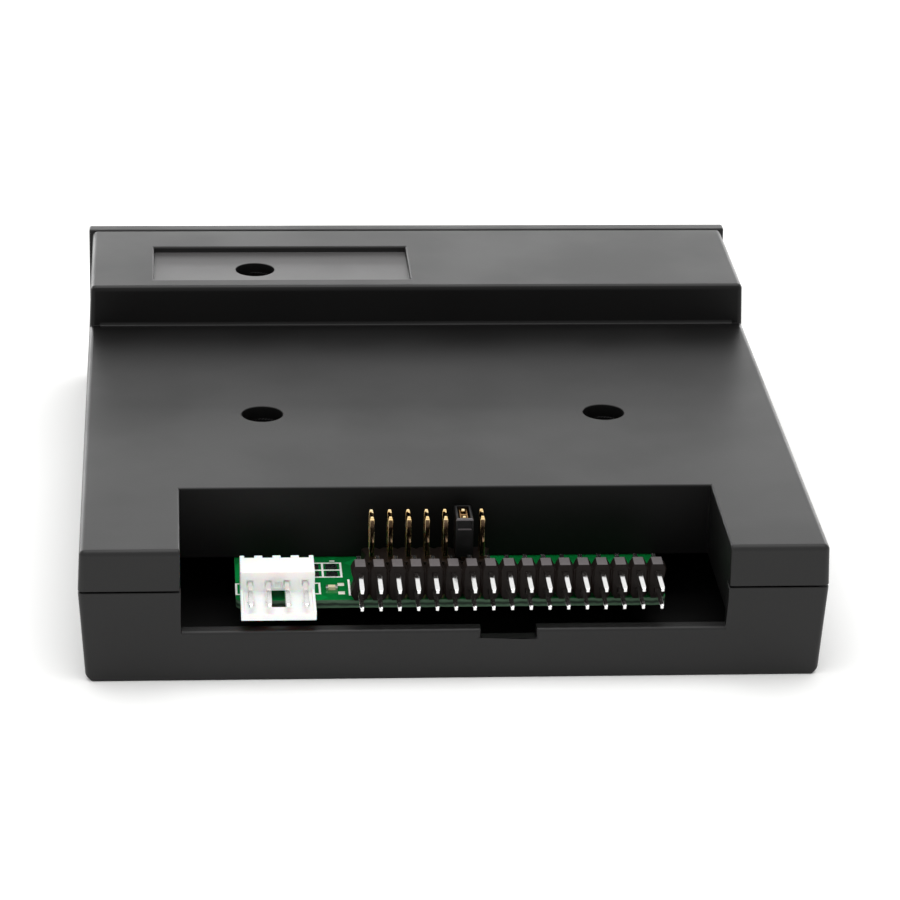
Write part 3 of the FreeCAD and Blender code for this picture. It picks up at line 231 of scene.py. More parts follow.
# A polished mould gives each button a clear soft highlight
button_abs = grained("polished_grey_abs", "#3b3c3e", "#434446", dull=0.3, shiny=0.2, grain=0.3, height=0.001,
                     cloud=3.0, IOR=1.5)
print("made:", case_abs.name, recess_abs.name, shade_wall_abs.name, button_abs.name)

# %% [markdown]
# Headers and the jumper shunt are PBT filled with glass fibre, a warm brown-black. The header's tops are
# painted paler than its faces: a painted highlight where they face the light. PBT has an IOR of
# about 1.6, and it too was lowered on the dark ones until they mirrored as little as the object's. The
# power socket is white nylon, which lets a little light in, so its edges and pin holes glow instead of
# going grey.

# %% Connector plastics
# Fibre dulls it to a warm near-black with hardly a highlight
header_pbt = grained("glass_filled_black_pbt", "#0b0705", "#1a110d", dull=0.5, shiny=0.4, grain=0.12,
                     height=0.004, cloud=2.0, IOR=1.26)
# Painted highlight for faces that look up to the light: a brownish grey
painted_highlight_pbt = grained("pale_topped_black_pbt", "#3f3a3b", "#565051", dull=0.5, shiny=0.38, grain=0.15,
                         height=0.006, cloud=1.0, IOR=1.55)
# Smoother and blacker, with thin highlights along its edges
shunt_pbt = grained("moulded_black_shunt_pbt", "#080707", "#100f0f", dull=0.4, shiny=0.3, grain=0.15,
                    height=0.003, cloud=2.0, IOR=1.3)
# Light bleeds round its corners, so its shadows are pale
socket_nylon = grained("natural_white_nylon", "#f4f3f0", "#fbfaf7", dull=0.42, shiny=0.32, grain=0.2,
                       height=0.001, cloud=3.0, IOR=1.5, Subsurface_Weight=0.6, Subsurface_Scale=1.0 * mm)
print("made:", header_pbt.name, painted_highlight_pbt.name, shunt_pbt.name, socket_nylon.name)

# %% [markdown]
# Pins are drawn brass wire, plated with tin on the drive header and the power socket, and with a thin
# flash of gold on the jumper header. Drawn wire is smooth, so a pin is a small mirror: dark where it sees
# the black plastic and white where it sees the sweep. Only faint clouds vary its colour and gloss. The
# jumper posts were stamped from strip; their faces that look out of the bay get a darker, browner gold as
# painted shade.

# %% Plated pins
def plated(name, dark, light, dull, shiny, cloud=1.2):
    """A smooth plated metal: colour and roughness drift in clouds of a size in mm, with no bump."""
    material, tree, shader = new_finish(name, Metallic=1.0)
    place = put(tree, "ShaderNodeTexCoord").outputs["Object"]
    broad = put(tree, "ShaderNodeTexNoise", {"Vector": place, "Scale": 1 / (cloud * mm), "Detail": 1.0})
    tint = put(tree, "ShaderNodeMix", {"Factor": broad.outputs["Fac"], mix_a: colour(dark),
                                       mix_b: colour(light)}, data_type="RGBA")
    rough = put(tree, "ShaderNodeMapRange", {"Value": broad.outputs["Fac"], "From Min": 0.3, "From Max": 0.7,
                                             "To Min": shiny, "To Max": dull},
                interpolation_type="SMOOTHSTEP")
    tree.links.new(tint.outputs[mix_result], shader.inputs["Base Color"])
    tree.links.new(rough.outputs["Result"], shader.inputs["Roughness"])
    return material


# White or black by what it faces
bright_tin = plated("bright_tin_plate", "#e6e6e4", "#f6f6f5", dull=0.16, shiny=0.1)
# A satin silver
dull_tin = plated("matt_tin_plate", "#b9b9b6", "#d3d3d0", dull=0.4, shiny=0.28)
# A dark grey tin, hardly shiny
bay_dark_tin = plated("tarnished_tin_plate", "#252527", "#424245", dull=0.4, shiny=0.28)
# A pale yellow mirror
flash_gold = plated("flash_gold_plate", "#e6b968", "#fff0c6", dull=0.08, shiny=0.05)
# Painted shade: brown, and a third as bright
shaded_gold = plated("thin_gold_on_sheared_brass", "#8a6a4c", "#a08c74", dull=0.14, shiny=0.08)
# Levelled by hot air, so it is dull and nearly white
pad_solder = plated("levelled_solder", "#dcdbd0", "#fbfaf0", dull=0.8, shiny=0.65, cloud=0.5)
print("made:", bright_tin.name, dull_tin.name, bay_dark_tin.name, pad_solder.name)
print("made:", flash_gold.name, shaded_gold.name)

# %% [markdown]
# The board is glass and epoxy laminate under green solder mask. The mask is a glossy lacquer; copper
# under it shows as lighter green, and bare laminate as darker green. The fields of copper have straight
# edges, like the cells of a Voronoi texture measured along the axes. The lacquer's IOR is a little under
# the usual 1.5, as far as the object mirrors the sky.

# %% Solder mask
def solder_mask():
    """Green lacquer, lighter in the broad areas of copper beneath it, with a fine weave of glass cloth."""
    material, tree, shader = new_finish("green_solder_mask", Roughness=0.12, IOR=1.38)
    copper_field, weave_pitch = 7.0 * mm, 0.35 * mm
    place = put(tree, "ShaderNodeTexCoord").outputs["Object"]
    copper = put(tree, "ShaderNodeTexVoronoi", {"Vector": place, "Scale": 1 / copper_field},
                 distance="MANHATTAN")
    pour = put(tree, "ShaderNodeMapRange", {"Value": copper.outputs["Distance"], "From Min": 0.62,
                                            "From Max": 0.66})
    weave = put(tree, "ShaderNodeTexNoise", {"Vector": place, "Scale": 1 / weave_pitch, "Detail": 1.0})
    cloth = put(tree, "ShaderNodeMapRange", {"Value": weave.outputs["Fac"], "To Min": 0.85, "To Max": 1.1})
    mask = put(tree, "ShaderNodeMix", {"Factor": pour.outputs["Result"], mix_a: colour("#06823c"),
                                       mix_b: colour("#046f31")}, data_type="RGBA")
    tint = put(tree, "ShaderNodeMix", {"Factor": 1.0, mix_a: mask.outputs[mix_result],
                                       mix_b: cloth.outputs["Result"]},
               data_type="RGBA", blend_type="MULTIPLY")
    bump = put(tree, "ShaderNodeBump", {"Height": pour.outputs["Result"], "Strength": 0.6,
                                        "Distance": 0.02 * mm})
    tree.links.new(tint.outputs[mix_result], shader.inputs["Base Color"])
    tree.links.new(bump.outputs["Normal"], shader.inputs["Normal"])
    return material


# A deep clear green with a sharp gloss
board_mask = solder_mask()
print("made:", board_mask.name)

# %% [markdown]
# The cut edge of the board has no mask: there the pale layers of glass and the darker resin between them
# show. Their colours are kept dark and the bands are set to leave the foot dark: painted shade. The ink
# on top of the mask is screened, flat white with a slight gloss.

# %% Laminate and ink
def sawn_laminate_with_shade():
    """The board's cut edge: pale glass layers with darker resin between, roughened by the saw, darkened as
    painted shade.
    """
    material, tree, shader = new_finish("sawn_glass_laminate", Roughness=0.7, IOR=1.45)
    # At a scale of 1 a wave texture repeats after this many metres
    band_at_scale_one = 0.314
    layer_pitch, saw_mark = 0.8 * mm, 0.25 * mm
    place = put(tree, "ShaderNodeTexCoord").outputs["Object"]
    # The bands' phase leaves the foot of the edge dark: painted shade
    layers = put(tree, "ShaderNodeTexWave", {"Vector": place, "Scale": band_at_scale_one / layer_pitch,
                                             "Distortion": 1.5, "Detail": 1.0, "Detail Scale": 2.0,
                                             "Phase Offset": 1.2}, bands_direction="Z")
    saw = put(tree, "ShaderNodeTexNoise", {"Vector": place, "Scale": 1 / saw_mark, "Detail": 2.0})
    tint = put(tree, "ShaderNodeMix", {"Factor": layers.outputs["Fac"], mix_a: colour("#18291e"),
                                       mix_b: colour("#54735a")}, data_type="RGBA")
    bump = put(tree, "ShaderNodeBump", {"Height": saw.outputs["Fac"], "Strength": 1.0, "Distance": 0.01 * mm})
    tree.links.new(tint.outputs[mix_result], shader.inputs["Base Color"])
    tree.links.new(bump.outputs["Normal"], shader.inputs["Normal"])
    return material


# Matt, in pale and dark bands, kept dark as painted shade
board_edge = sawn_laminate_with_shade()
# Flat white, brighter than anything round it
silk_ink = grained("white_silkscreen_ink", "#f8f9f4", "#fefefa", dull=0.6, shiny=0.5, grain=0.12,
                   height=0.002, cloud=1.5, IOR=1.48)
print("made:", board_edge.name, silk_ink.name)

# %% [markdown]
# Under the cover are the ordinary parts of a small board. Chips are black epoxy with a matt moulded skin;
# their leads are tinned. The crystal's can is nickel-plated steel, drawn to shape, and the electrolytic
# cans are bright aluminium. They are seen only through the bay and the wells, or when the cover is taken
# off.

# %% Parts on the board
# Matt from the mould: a flat dark grey
chip_epoxy = grained("moulded_chip_epoxy", "#19191a", "#242425", dull=0.6, shiny=0.48, grain=0.12,
                     height=0.004, cloud=3.0, IOR=1.55)
# A soft, slightly yellow metal
crystal_steel = grained("nickel_plated_can", "#b4b3ad", "#cfcec8", dull=0.3, shiny=0.2, grain=0.25,
                        height=0.002, cloud=2.0, Metallic=1.0)
# Whiter, with the sheen of drawn metal
can_aluminium = grained("drawn_aluminium_can", "#c9cacc", "#dedfe0", dull=0.32, shiny=0.22, grain=0.2,
                        height=0.002, cloud=2.0, Metallic=1.0)
# A plain black moulding
base_resin = grained("black_capacitor_base", "#141414", "#1d1d1d", dull=0.5, shiny=0.4, grain=0.15,
                     height=0.003, cloud=2.0, IOR=1.55)
# Fired glaze: black and shiny
resistor_glass = grained("black_resistor_glaze", "#101013", "#1b1b20", dull=0.3, shiny=0.2, grain=0.2,
                         height=0.002, cloud=0.8, IOR=1.52)
# Fired and left bare: a chalky tan
capacitor_ceramic = grained("fired_pale_ceramic", "#c9bd97", "#e6ddbd", dull=0.55, shiny=0.4, grain=0.12,
                            height=0.003, cloud=0.8, IOR=1.6)
# Satin black
switch_plastic = grained("black_switch_nylon", "#101011", "#181819", dull=0.5, shiny=0.4, grain=0.15,
                         height=0.003, cloud=2.0, IOR=1.53)
print("made:", chip_epoxy.name, crystal_steel.name, can_aluminium.name, base_resin.name, resistor_glass.name)
print("made:", capacitor_ceramic.name, switch_plastic.name)

# %% [markdown]
# Sheet steel parts are stamped and nickel plated: the socket's shell and the switch frames. The case
# screws are zinc plated, with a faint blue cast. The shunt's clip is spring bronze, bright where it was
# cut.

# %% Sheet metal and screws
# Grey with a hint of yellow and a soft mirror image
shell_steel = grained("nickel_plated_sheet_steel", "#b9b8b4", "#d3d2ce", dull=0.34, shiny=0.22, grain=0.3,
                      height=0.002, cloud=2.5, Metallic=1.0)
# Blue grey, duller than nickel
zinc_steel = grained("blue_zinc_plated_steel", "#9da3a8", "#c3c8cb", dull=0.4, shiny=0.26, grain=0.15,
                     height=0.003, cloud=1.5, Metallic=1.0)
# A warm brown metal
clip_bronze = grained("phosphor_bronze_strip", "#8f6a3a", "#b98d55", dull=0.35, shiny=0.25, grain=0.12,
                      height=0.001, cloud=1.0, Metallic=1.0)
print("made:", shell_steel.name, zinc_steel.name, clip_bronze.name)

# %% [markdown]
# At the front are a smoked window, a digit display behind it, a lamp and a socket with a white tongue.
# The window and the lamp are clear plastic, so light goes into them; the digits are frosted resin, pale
# when unlit.

# %% Front parts
# Cast and polished: a clear mirror over dark red
window_acrylic = grained("smoked_red_acrylic", "#3a0f10", "#451315", dull=0.08, shiny=0.04, grain=0.5,
                         height=0.0005, cloud=6.0, IOR=1.49, Transmission_Weight=0.85)
# Milky green, lit from within by whatever falls on it
lamp_epoxy = grained("green_diffused_lamp_epoxy", "#5fae62", "#74c274", dull=0.25, shiny=0.15, grain=0.3,
                     height=0.001, cloud=1.0, IOR=1.54, Transmission_Weight=0.35)
# A satin off-white
tongue_nylon = grained("white_socket_tongue_nylon", "#e3e2dd", "#efeee9", dull=0.45, shiny=0.35, grain=0.15,
                       height=0.002, cloud=2.0, IOR=1.53)
# A matt dark grey that keeps glare off the digits
display_abs = grained("grey_display_case_abs", "#2b2c2e", "#343537", dull=0.55, shiny=0.45, grain=0.2,
                      height=0.003, cloud=3.0, IOR=1.5)
# A dull cream
digit_resin = grained("frosted_digit_resin", "#d9d6cc", "#e8e5db", dull=0.6, shiny=0.5, grain=0.2,
                      height=0.003, cloud=1.0, IOR=1.5)
print("made:", window_acrylic.name, lamp_epoxy.name, tongue_nylon.name, display_abs.name, digit_resin.name)

# %% [markdown]
# Every CAD part gets a finish here. Most of them make way for a finer piece later. The small ones, such
# as leads, resistors, contacts and switch plungers, are shown as CAD made them.

# %% Finishes on the CAD parts
def coat_node(name, material):
    """Puts one material in every slot of a CAD part's object."""
    for slot in nodes[name].material_slots:
        slot.material = material
    if not len(nodes[name].material_slots):
        nodes[name].data.materials.append(material)


for finish, names in (
    (header_pbt, ("drive_header_body", "jumper_header_body")),
    (shunt_pbt, ("jumper_shunt_cap",)),
    (socket_nylon, ("power_socket_housing",)),
    (bright_tin, ("drive_header_pins", "power_socket_pins", "display_link_pins")),
    (dull_tin, ("microcontroller_leads", "logic_chip_leads", "regulator_leads", "lamp_leads", "chip_end_caps",
                "switch_legs")),
    (flash_gold, ("jumper_header_pins", "usb_contacts")),
    (clip_bronze, ("jumper_shunt_clip",)),
    (board_mask, ("main_board", "display_board")),
    (chip_epoxy, ("microcontroller", "logic_chips", "voltage_regulator")),
    (crystal_steel, ("crystal",)),
    (can_aluminium, ("electrolytic_capacitors",)),
    (base_resin, ("capacitor_bases",)),
    (resistor_glass, ("chip_resistors",)),
    (capacitor_ceramic, ("chip_capacitors",)),
    (switch_plastic, ("switch_bodies", "switch_plunger_left", "switch_plunger_right")),
    (shell_steel, ("switch_frames", "usb_shell")),
    (zinc_steel, ("case_screws",)),
    (window_acrylic, ("display_window",)),
    (lamp_epoxy, ("activity_lamp",)),
    (tongue_nylon, ("usb_tongue",)),
    (display_abs, ("display_housing",)),
    (digit_resin, ("display_segments",)),
    (button_abs, ("button_left", "button_right")),
    (case_abs, ("top_cover", "bay_walls", "screw_wells", "bottom_tray", "front_bezel")),
):
    for name in names:
        coat_node(name, finish)
print("materials:", len(bpy.data.materials))

# %% [markdown]
# CAD parts have knife edges, real ones don't: a moulded edge is rounded by its mould and a folded one by
# its tool, and that thin rounding is what catches the light. A copy of each visible part is made for
# that. Its loose triangles are welded first and joined back into whole faces, so that only real edges are
# left to round. The copy then stands for the CAD part.

# %% Copies of CAD parts
def whole_faces(mesh):
    """Welds a CAD mesh's loose triangles and joins the flat ones."""
    weld_distance, flat_angle = 0.002 * mm, math.radians(0.5)
    shape = bmesh.new()
    shape.from_mesh(mesh)
    bmesh.ops.remove_doubles(shape, verts=shape.verts, dist=weld_distance)
    bmesh.ops.dissolve_limit(shape, angle_limit=flat_angle, verts=shape.verts, edges=shape.edges)
    for face in shape.faces:
        face.smooth = True
    shape.to_mesh(mesh)
    shape.free()


def cad_mesh(node):
    """A welded copy of a CAD part's mesh, without its materials."""
    mesh = nodes[node].data.copy()
    mesh.materials.clear()
    whole_faces(mesh)
    return mesh


def new_object(name, mesh, *finishes):
    """An object in the scene, with its mesh and its finishes."""
    for finish in finishes:
        mesh.materials.append(finish)
    piece = bpy.data.objects.new(name, mesh)
    bpy.context.scene.collection.objects.link(piece)
    return piece


print("the bezel as CAD gives it:", len(nodes["front_bezel"].data.polygons), "triangles")

# %% [markdown]
# A modifier is worked out anew each time an object is shown, but the hand-over wants plain meshes. Here
# what the modifiers show is read back as the object's own mesh, and they are taken off. Rounding is a
# Bevel with a Weighted Normal after it, which keeps the large faces looking flat. The bevel's loop slide
# is off, because it drew thin lines of light beside some edges. At sharp tips a bevel can throw a point
# outwards, so every point is put back inside the part's own box.

# %% Modifiers made permanent
def shown_mesh(piece):
    """A plain mesh of what an object shows with its modifiers."""
    return bpy.data.meshes.new_from_object(piece.evaluated_get(bpy.context.evaluated_depsgraph_get()))


def keep_mesh(piece):
    """Makes what the modifiers show the piece's own plain mesh."""
    mesh = shown_mesh(piece)
    piece.modifiers.clear()
    piece.data = mesh
    mesh.name = piece.name


def round_edges(piece, width, segments=2):
    """Rounds the edges where the surface turns by more than 30 degrees; the width is in metres."""
    points = piece.data.vertices
    low, high = [[pick(point.co[i] for point in points) for i in range(3)] for pick in (min, max)]
    bevel = piece.modifiers.new("rounding", "BEVEL")
    bevel.width = width
    bevel.segments = segments
    bevel.limit_method = "ANGLE"
    bevel.angle_limit = math.radians(30)
    bevel.use_clamp_overlap = False
    bevel.loop_slide = False
    facing = piece.modifiers.new("facing", "WEIGHTED_NORMAL")
    facing.keep_sharp = False
    facing.weight = 100
    keep_mesh(piece)
    for point in piece.data.vertices:
        point.co = [min(max(point.co[i], low[i]), high[i]) for i in range(3)]


# %% [markdown]
# Some pieces show two finishes, such as mask and bare laminate on one board. A test on each face's middle
# and normal picks the faces that get the second one. The last helper puts a piece on the body it moves
# with and hides the CAD parts it stands for.

# %% Second finishes and bodies
def paint_faces(piece, finish, chosen):
    """Gives another finish to the faces that a test picks by their middle, in mm, and their normal."""
    piece.data.materials.append(finish)
    painted = [face for face in piece.data.polygons if chosen(face.center / mm, face.normal)]
    for face in painted:
        face.material_index = len(piece.data.materials) - 1
    print(piece.name, "painted:", len(painted), finish.name)


def settle(piece, body, slot, *stands_for):
    """Attaches a piece to its body and hides the CAD parts it stands for; the slot is not used."""
    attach(piece, body)
    if stands_for:
        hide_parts(*stands_for)
    print(piece.name, "faces:", len(piece.data.polygons))


# %% [markdown]
# The cover is one moulding: its skin, the walls of the connector bay and the screw wells come out of the
# mould together. CAD keeps the walls and wells as parts of their own for the collision model, so a
# Boolean union makes them one skin again, with no seam at the top of the bay.

# %% One skin from three parts
def joined_mesh(names):
    """One closed mesh from CAD parts that are moulded in one."""
    parts = [new_object("part_" + name, cad_mesh(name)) for name in names]
    for part in parts[1:]:
        union = parts[0].modifiers.new("join", "BOOLEAN")
        union.operation = "UNION"
        union.solver = "EXACT"
        union.object = part
    mesh = shown_mesh(parts[0])
    for part in parts:
        bpy.data.objects.remove(part)
    whole_faces(mesh)
    return mesh


cover_nodes = ("top_cover", "bay_walls", "screw_wells")
cover = new_object("cover_shell", joined_mesh(cover_nodes), case_abs)
round_edges(cover, width=0.12 * mm)
print("the joined cover has", len(cover.data.polygons), "faces")

# %% [markdown]
# The recess in the raised top is paler than the rest of the cover, and the walls that face the rear, at
# the step and at the back of the bay, are given painted shade. Each is found by its height or its place
# along Y. A face that looks straight up has a normal with a Z of 1, so a little less than that is asked for.

# %% The cover's three finishes
recess_depth, bay_wall = 1.0, 1.6
recess_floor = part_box("top_cover")[1].z / mm - recess_depth
bay_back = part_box("bay_walls")[0].y / mm + bay_wall
# A little over half the bay's width, where the step's wall stands, and the height of the low top behind it
bay_side, step_wall, rear_top = 42.0, -27.7, 19.1
# How far a face's middle may be from those places, and how far its normal has to point up or to the rear
near, bay_depth, step_depth = 0.05, 0.4, 1.0
level, to_rear = 0.9, 0.7


def shaded_wall(middle, normal):
    """The walls that get painted shade: the back of the bay, and the wall of the step, which leans and so
    spreads over some depth.
    """
    in_bay = abs(middle.y - bay_back) < bay_depth and abs(middle.x) < bay_side
    on_step = abs(middle.y - step_wall) < step_depth and middle.z > rear_top
    return normal.y > to_rear and (in_bay or on_step)


paint_faces(cover, recess_abs,
            lambda middle, normal: normal.z > level and abs(middle.z - recess_floor) < near)
# The walls that face the rear are painted near-black: painted shade
paint_faces(cover, shade_wall_abs, shaded_wall)
settle(cover, "drive", "case_plastic", *cover_nodes)

# %% [markdown]
# The drive header's block is moulded with a notch between each two columns. Its faces are in shade and
# nearly black, its tops catch the light and get a paler finish as painted highlight. The jumper posts'
# faces that look out of the bay get a darker gold as painted shade, but their tips are as bright as the
# rest, so the second finish stops a millimetre below the top.

# %% The headers
header_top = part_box("drive_header_body")[1].z / mm
drive_block = new_object("drive_header_block", cad_mesh("drive_header_body"), header_pbt)
round_edges(drive_block, width=0.07 * mm)
# The tops get a paler finish: painted highlight
paint_faces(drive_block, painted_highlight_pbt,
            lambda middle, normal: normal.z > level and middle.z > header_top - near)
settle(drive_block, "drive", "header_plastic", "drive_header_body")

posts_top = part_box("jumper_header_pins")[1].z / mm
straight_back, bright_tip = 0.99, 1.0
jumper_posts = new_object("jumper_posts", cad_mesh("jumper_header_pins"), flash_gold)
round_edges(jumper_posts, width=0.05 * mm)
# The faces that look out of the bay get a darker gold: painted shade
paint_faces(jumper_posts, shaded_gold,
            lambda middle, normal: normal.y > straight_back and middle.z < posts_top - bright_tip)
settle(jumper_posts, "drive", "gold_pins", "jumper_header_pins")

# %% [markdown]
# The board's copy gets two finishes: mask on its faces and bare laminate round its cut edge. The chips'
# end caps come from CAD as one part with two bare pads. The caps are tinned, those in the open bay get a
# darker grey tin, and the pads, flat on the board between the header and the socket, are dabs of dull solder.

# %% The board, the end caps and the pads
board_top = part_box("main_board")[1].z / mm
steep = 0.6
board = new_object("circuit_board", cad_mesh("main_board"), board_mask)
round_edges(board, width=0.06 * mm)
paint_faces(board, board_edge, lambda middle, normal: abs(normal.z) < steep)
settle(board, "drive", "board_laminate", "main_board")

bay_chips_from, bay_chips_to, pads_from, pad_height = 38.0, 44.5, 45.0, 0.2
end_caps = new_object("end_caps_and_pads", cad_mesh("chip_end_caps"), dull_tin)
round_edges(end_caps, width=0.02 * mm)
paint_faces(end_caps, pad_solder,
            lambda middle, normal: middle.y > pads_from and middle.z < board_top + pad_height)
paint_faces(end_caps, bay_dark_tin, lambda middle, normal: bay_back < middle.y < bay_chips_to)
settle(end_caps, "drive", "tinned_leads", "chip_end_caps")

# %% [markdown]
# The other parts need only their own edges rounded, each by what its making gives: a tenth of a
# millimetre on moulded connectors, less on drawn pins and folded sheet, more on what a finger touches.
# Each line names the new piece, its CAD part, its body, its slot, its finish, the rounding in mm and the
# number of steps that it is made in.

# %% Parts that keep their CAD form
for name, node, body, slot, finish, width, segments in (
    ("tray_shell", "bottom_tray", "drive", "case_plastic", case_abs, 0.18, 2),
    ("bezel_plate", "front_bezel", "drive", "case_plastic", case_abs, 0.25, 3),
    ("jumper_header_block", "jumper_header_body", "drive", "header_plastic", header_pbt, 0.07, 2),
    ("drive_posts", "drive_header_pins", "drive", "tinned_pins", bright_tin, 0.05, 2),
    ("power_posts", "power_socket_pins", "drive", "tinned_pins", bright_tin, 0.05, 2),
    ("power_socket_block", "power_socket_housing", "drive", "socket_nylon", socket_nylon, 0.1, 3),
    ("left_button_cap", "button_left", "left_button", "button_plastic", button_abs, 0.3, 3),
    ("right_button_cap", "button_right", "right_button", "button_plastic", button_abs, 0.3, 3),
    ("shunt_spring", "jumper_shunt_clip", "jumper_shunt", "clip_bronze", clip_bronze, 0.03, 2),
    ("socket_shell", "usb_shell", "drive", "shell_steel", shell_steel, 0.06, 2),
    ("socket_tongue", "usb_tongue", "drive", "tongue_plastic", tongue_nylon, 0.12, 2),
    ("smoked_window", "display_window", "drive", "window_acrylic", window_acrylic, 0.15, 2),
    ("digit_case", "display_housing", "drive", "display_case", display_abs, 0.2, 2),
    ("controller_body", "microcontroller", "drive", "chip_epoxy", chip_epoxy, 0.06, 2),
    ("logic_bodies", "logic_chips", "drive", "chip_epoxy", chip_epoxy, 0.06, 2),
    ("regulator_body", "voltage_regulator", "drive", "chip_epoxy", chip_epoxy, 0.06, 2),
    ("crystal_can", "crystal", "drive", "crystal_can", crystal_steel, 0.25, 3),
    ("capacitor_feet", "capacitor_bases", "drive", "capacitor_base", base_resin, 0.1, 2),
    ("switch_cases", "switch_bodies", "drive", "switch_plastic", switch_plastic, 0.12, 2),
    ("switch_covers", "switch_frames", "drive", "switch_steel", shell_steel, 0.05, 2),
):
    piece = new_object(name, cad_mesh(node), finish)
    round_edges(piece, width * mm, segments)
    settle(piece, body, slot, node)

# %% [markdown]
# The shunt is a little sleeve that a finger nail must grip, so its rim is bevelled and its narrow faces
# have a shallow panel with a ledge below. Three helpers make such a form: a box between two corners, a
# cut with exact Booleans, and a bevel on chosen edges only.

# %% Boxes, cuts and chosen bevels
def box_mesh(low, high):
    """A closed box between two corners, in mm."""
    shape = bmesh.new()
    bmesh.ops.create_cube(shape, size=1.0)
    for point in shape.verts:
        point.co = Vector([high[i] if point.co[i] > 0 else low[i] for i in range(3)]) * mm
    mesh = bpy.data.meshes.new("box")
    shape.to_mesh(mesh)
    shape.free()
    return mesh


def cut_with(piece, meshes):
    """Cuts tool meshes out of a piece by exact Booleans."""
    tools = [new_object("tool", mesh) for mesh in meshes]
    for tool in tools:
        boolean = piece.modifiers.new("cut", "BOOLEAN")
        boolean.operation = "DIFFERENCE"
        boolean.solver = "EXACT"
        boolean.object = tool
    keep_mesh(piece)
    for tool in tools:
        bpy.data.objects.remove(tool)


def bevel_chosen(mesh, width, chosen):
    """Bevels the edges whose two ends both pass a test on their place in mm."""
    shape = bmesh.new()
    shape.from_mesh(mesh)
    edges = [edge for edge in shape.edges if all(chosen(point.co / mm) for point in edge.verts)]
    bmesh.ops.bevel(shape, geom=edges, offset=width, segments=2, profile=0.5, affect="EDGES")
    shape.to_mesh(mesh)
    shape.free()
    print("bevelled edges:", len(edges))


# %% [markdown]
# The sleeve starts as a box with a bevelled top. The opening and the panels are cut out of it before the
# small rounding, so that the light runs along the ledge too. The rim and the ledge that look up and out
# of the bay get a paler finish: a painted highlight.

# %% The jumper shunt
low, high = [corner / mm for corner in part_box("jumper_shunt_cap")]
shunt_wall, past_end = 0.4, 1.0
panel_side, panel_drop, panel_height, panel_sink = 0.3, 0.35, 1.25, 0.25
highlight_height, highlight_depth, sloping = 2.0, 0.5, 0.3
shunt_mesh = box_mesh(low, high)
bevel_chosen(shunt_mesh, width=0.26 * mm, chosen=lambda place: place.z > high.z - near)
shunt = new_object("shunt_sleeve", shunt_mesh, shunt_pbt)
opening = box_mesh((low.x + shunt_wall, low.y + shunt_wall, low.z - past_end),
                   (high.x - shunt_wall, high.y - shunt_wall, high.z + past_end))
panels = [box_mesh((low.x + panel_side, y - panel_sink, high.z - panel_drop - panel_height),
                   (high.x - panel_side, y + panel_sink, high.z - panel_drop)) for y in (low.y, high.y)]
cut_with(shunt, [opening] + panels)
round_edges(shunt, width=0.05 * mm)
# The rim and the ledge that look up get a paler finish: painted highlight
paint_faces(shunt, painted_highlight_pbt,
            lambda middle, normal: normal.z > sloping and middle.z > high.z - highlight_height
            and middle.y > high.y - highlight_depth)
settle(shunt, "jumper_shunt", "shunt_plastic", "jumper_shunt_cap")

# %% [markdown]
# A modifier that grows geometry has a tree of nodes of its own. Its inputs are named, so that sizes are
# set from outside, and it ends in real geometry with a finish. These three helpers start such a tree, end
# it, and use it on a mesh.

# %% Trees that grow geometry
def node_inputs(tree, *sockets):
    """Names a tree's inputs and its one output, and gives the inputs to link from."""
    for name, kind in sockets:
        tree.interface.new_socket(name, in_out="INPUT", socket_type="NodeSocket" + kind)
    tree.interface.new_socket("Result", in_out="OUTPUT", socket_type="NodeSocketGeometry")
    return put(tree, "NodeGroupInput").outputs


def finish_tree(tree, geometry, finish):
    """Ends a tree in real geometry with its finish."""
    real = put(tree, "GeometryNodeRealizeInstances", {"Geometry": geometry})
    coated = put(tree, "GeometryNodeSetMaterial", {"Geometry": real.outputs["Geometry"], "Material": finish})
    put(tree, "NodeGroupOutput", {"Result": coated.outputs["Geometry"]})


def grow(name, mesh, tree, **inputs):
    """A plain mesh object grown from a mesh by a tree; inputs are set by their sockets' identifiers."""
    piece = new_object(name, mesh)
    growth = piece.modifiers.new("growth", "NODES")
    growth.node_group = tree
    for socket in tree.interface.items_tree:
        if socket.name in inputs:
            growth[socket.identifier] = inputs[socket.name]
    keep_mesh(piece)
    return piece


# %% [markdown]
# White ink is screened on the board. A stroke of it is a short path with a flat bar drawn along it, so
# one tree makes all the strokes from the edges of a mesh. The bar's normal is held upwards, so that the
# ink lies flat whichever way a path runs.

# %% A tree for strokes of ink
def stroke_tree():
    """Draws a flat bar along every edge of a mesh."""
    tree = bpy.data.node_groups.new("ink_strokes", "GeometryNodeTree")
    given = node_inputs(tree, ("Paths", "Geometry"), ("Width", "Float"), ("Thickness", "Float"),
                        ("Finish", "Material"))
    path = put(tree, "GeometryNodeMeshToCurve", {"Mesh": given["Paths"]})
    upright = put(tree, "GeometryNodeSetCurveNormal", {"Curve": path.outputs["Curve"]}, mode="Z_UP")
    bar = put(tree, "GeometryNodeCurvePrimitiveQuadrilateral", {"Width": given["Width"],
                                                                "Height": given["Thickness"]})
    stroke = put(tree, "GeometryNodeCurveToMesh", {"Curve": upright.outputs["Curve"],
                                                   "Profile Curve": bar.outputs["Curve"], "Fill Caps": True})
    finish_tree(tree, stroke.outputs["Mesh"], given["Finish"])
    return tree


ink_tree = stroke_tree()
print("nodes in the tree for ink:", len(ink_tree.nodes))

# %% [markdown]
# The ink is a frame round the block of chips in the bay, the outline of the power socket, whose corners
# show on both sides of it, and a bar at the end of the drive header. Where strokes meet, one stops at the
# other's side, because two flat faces in one plane would flicker.

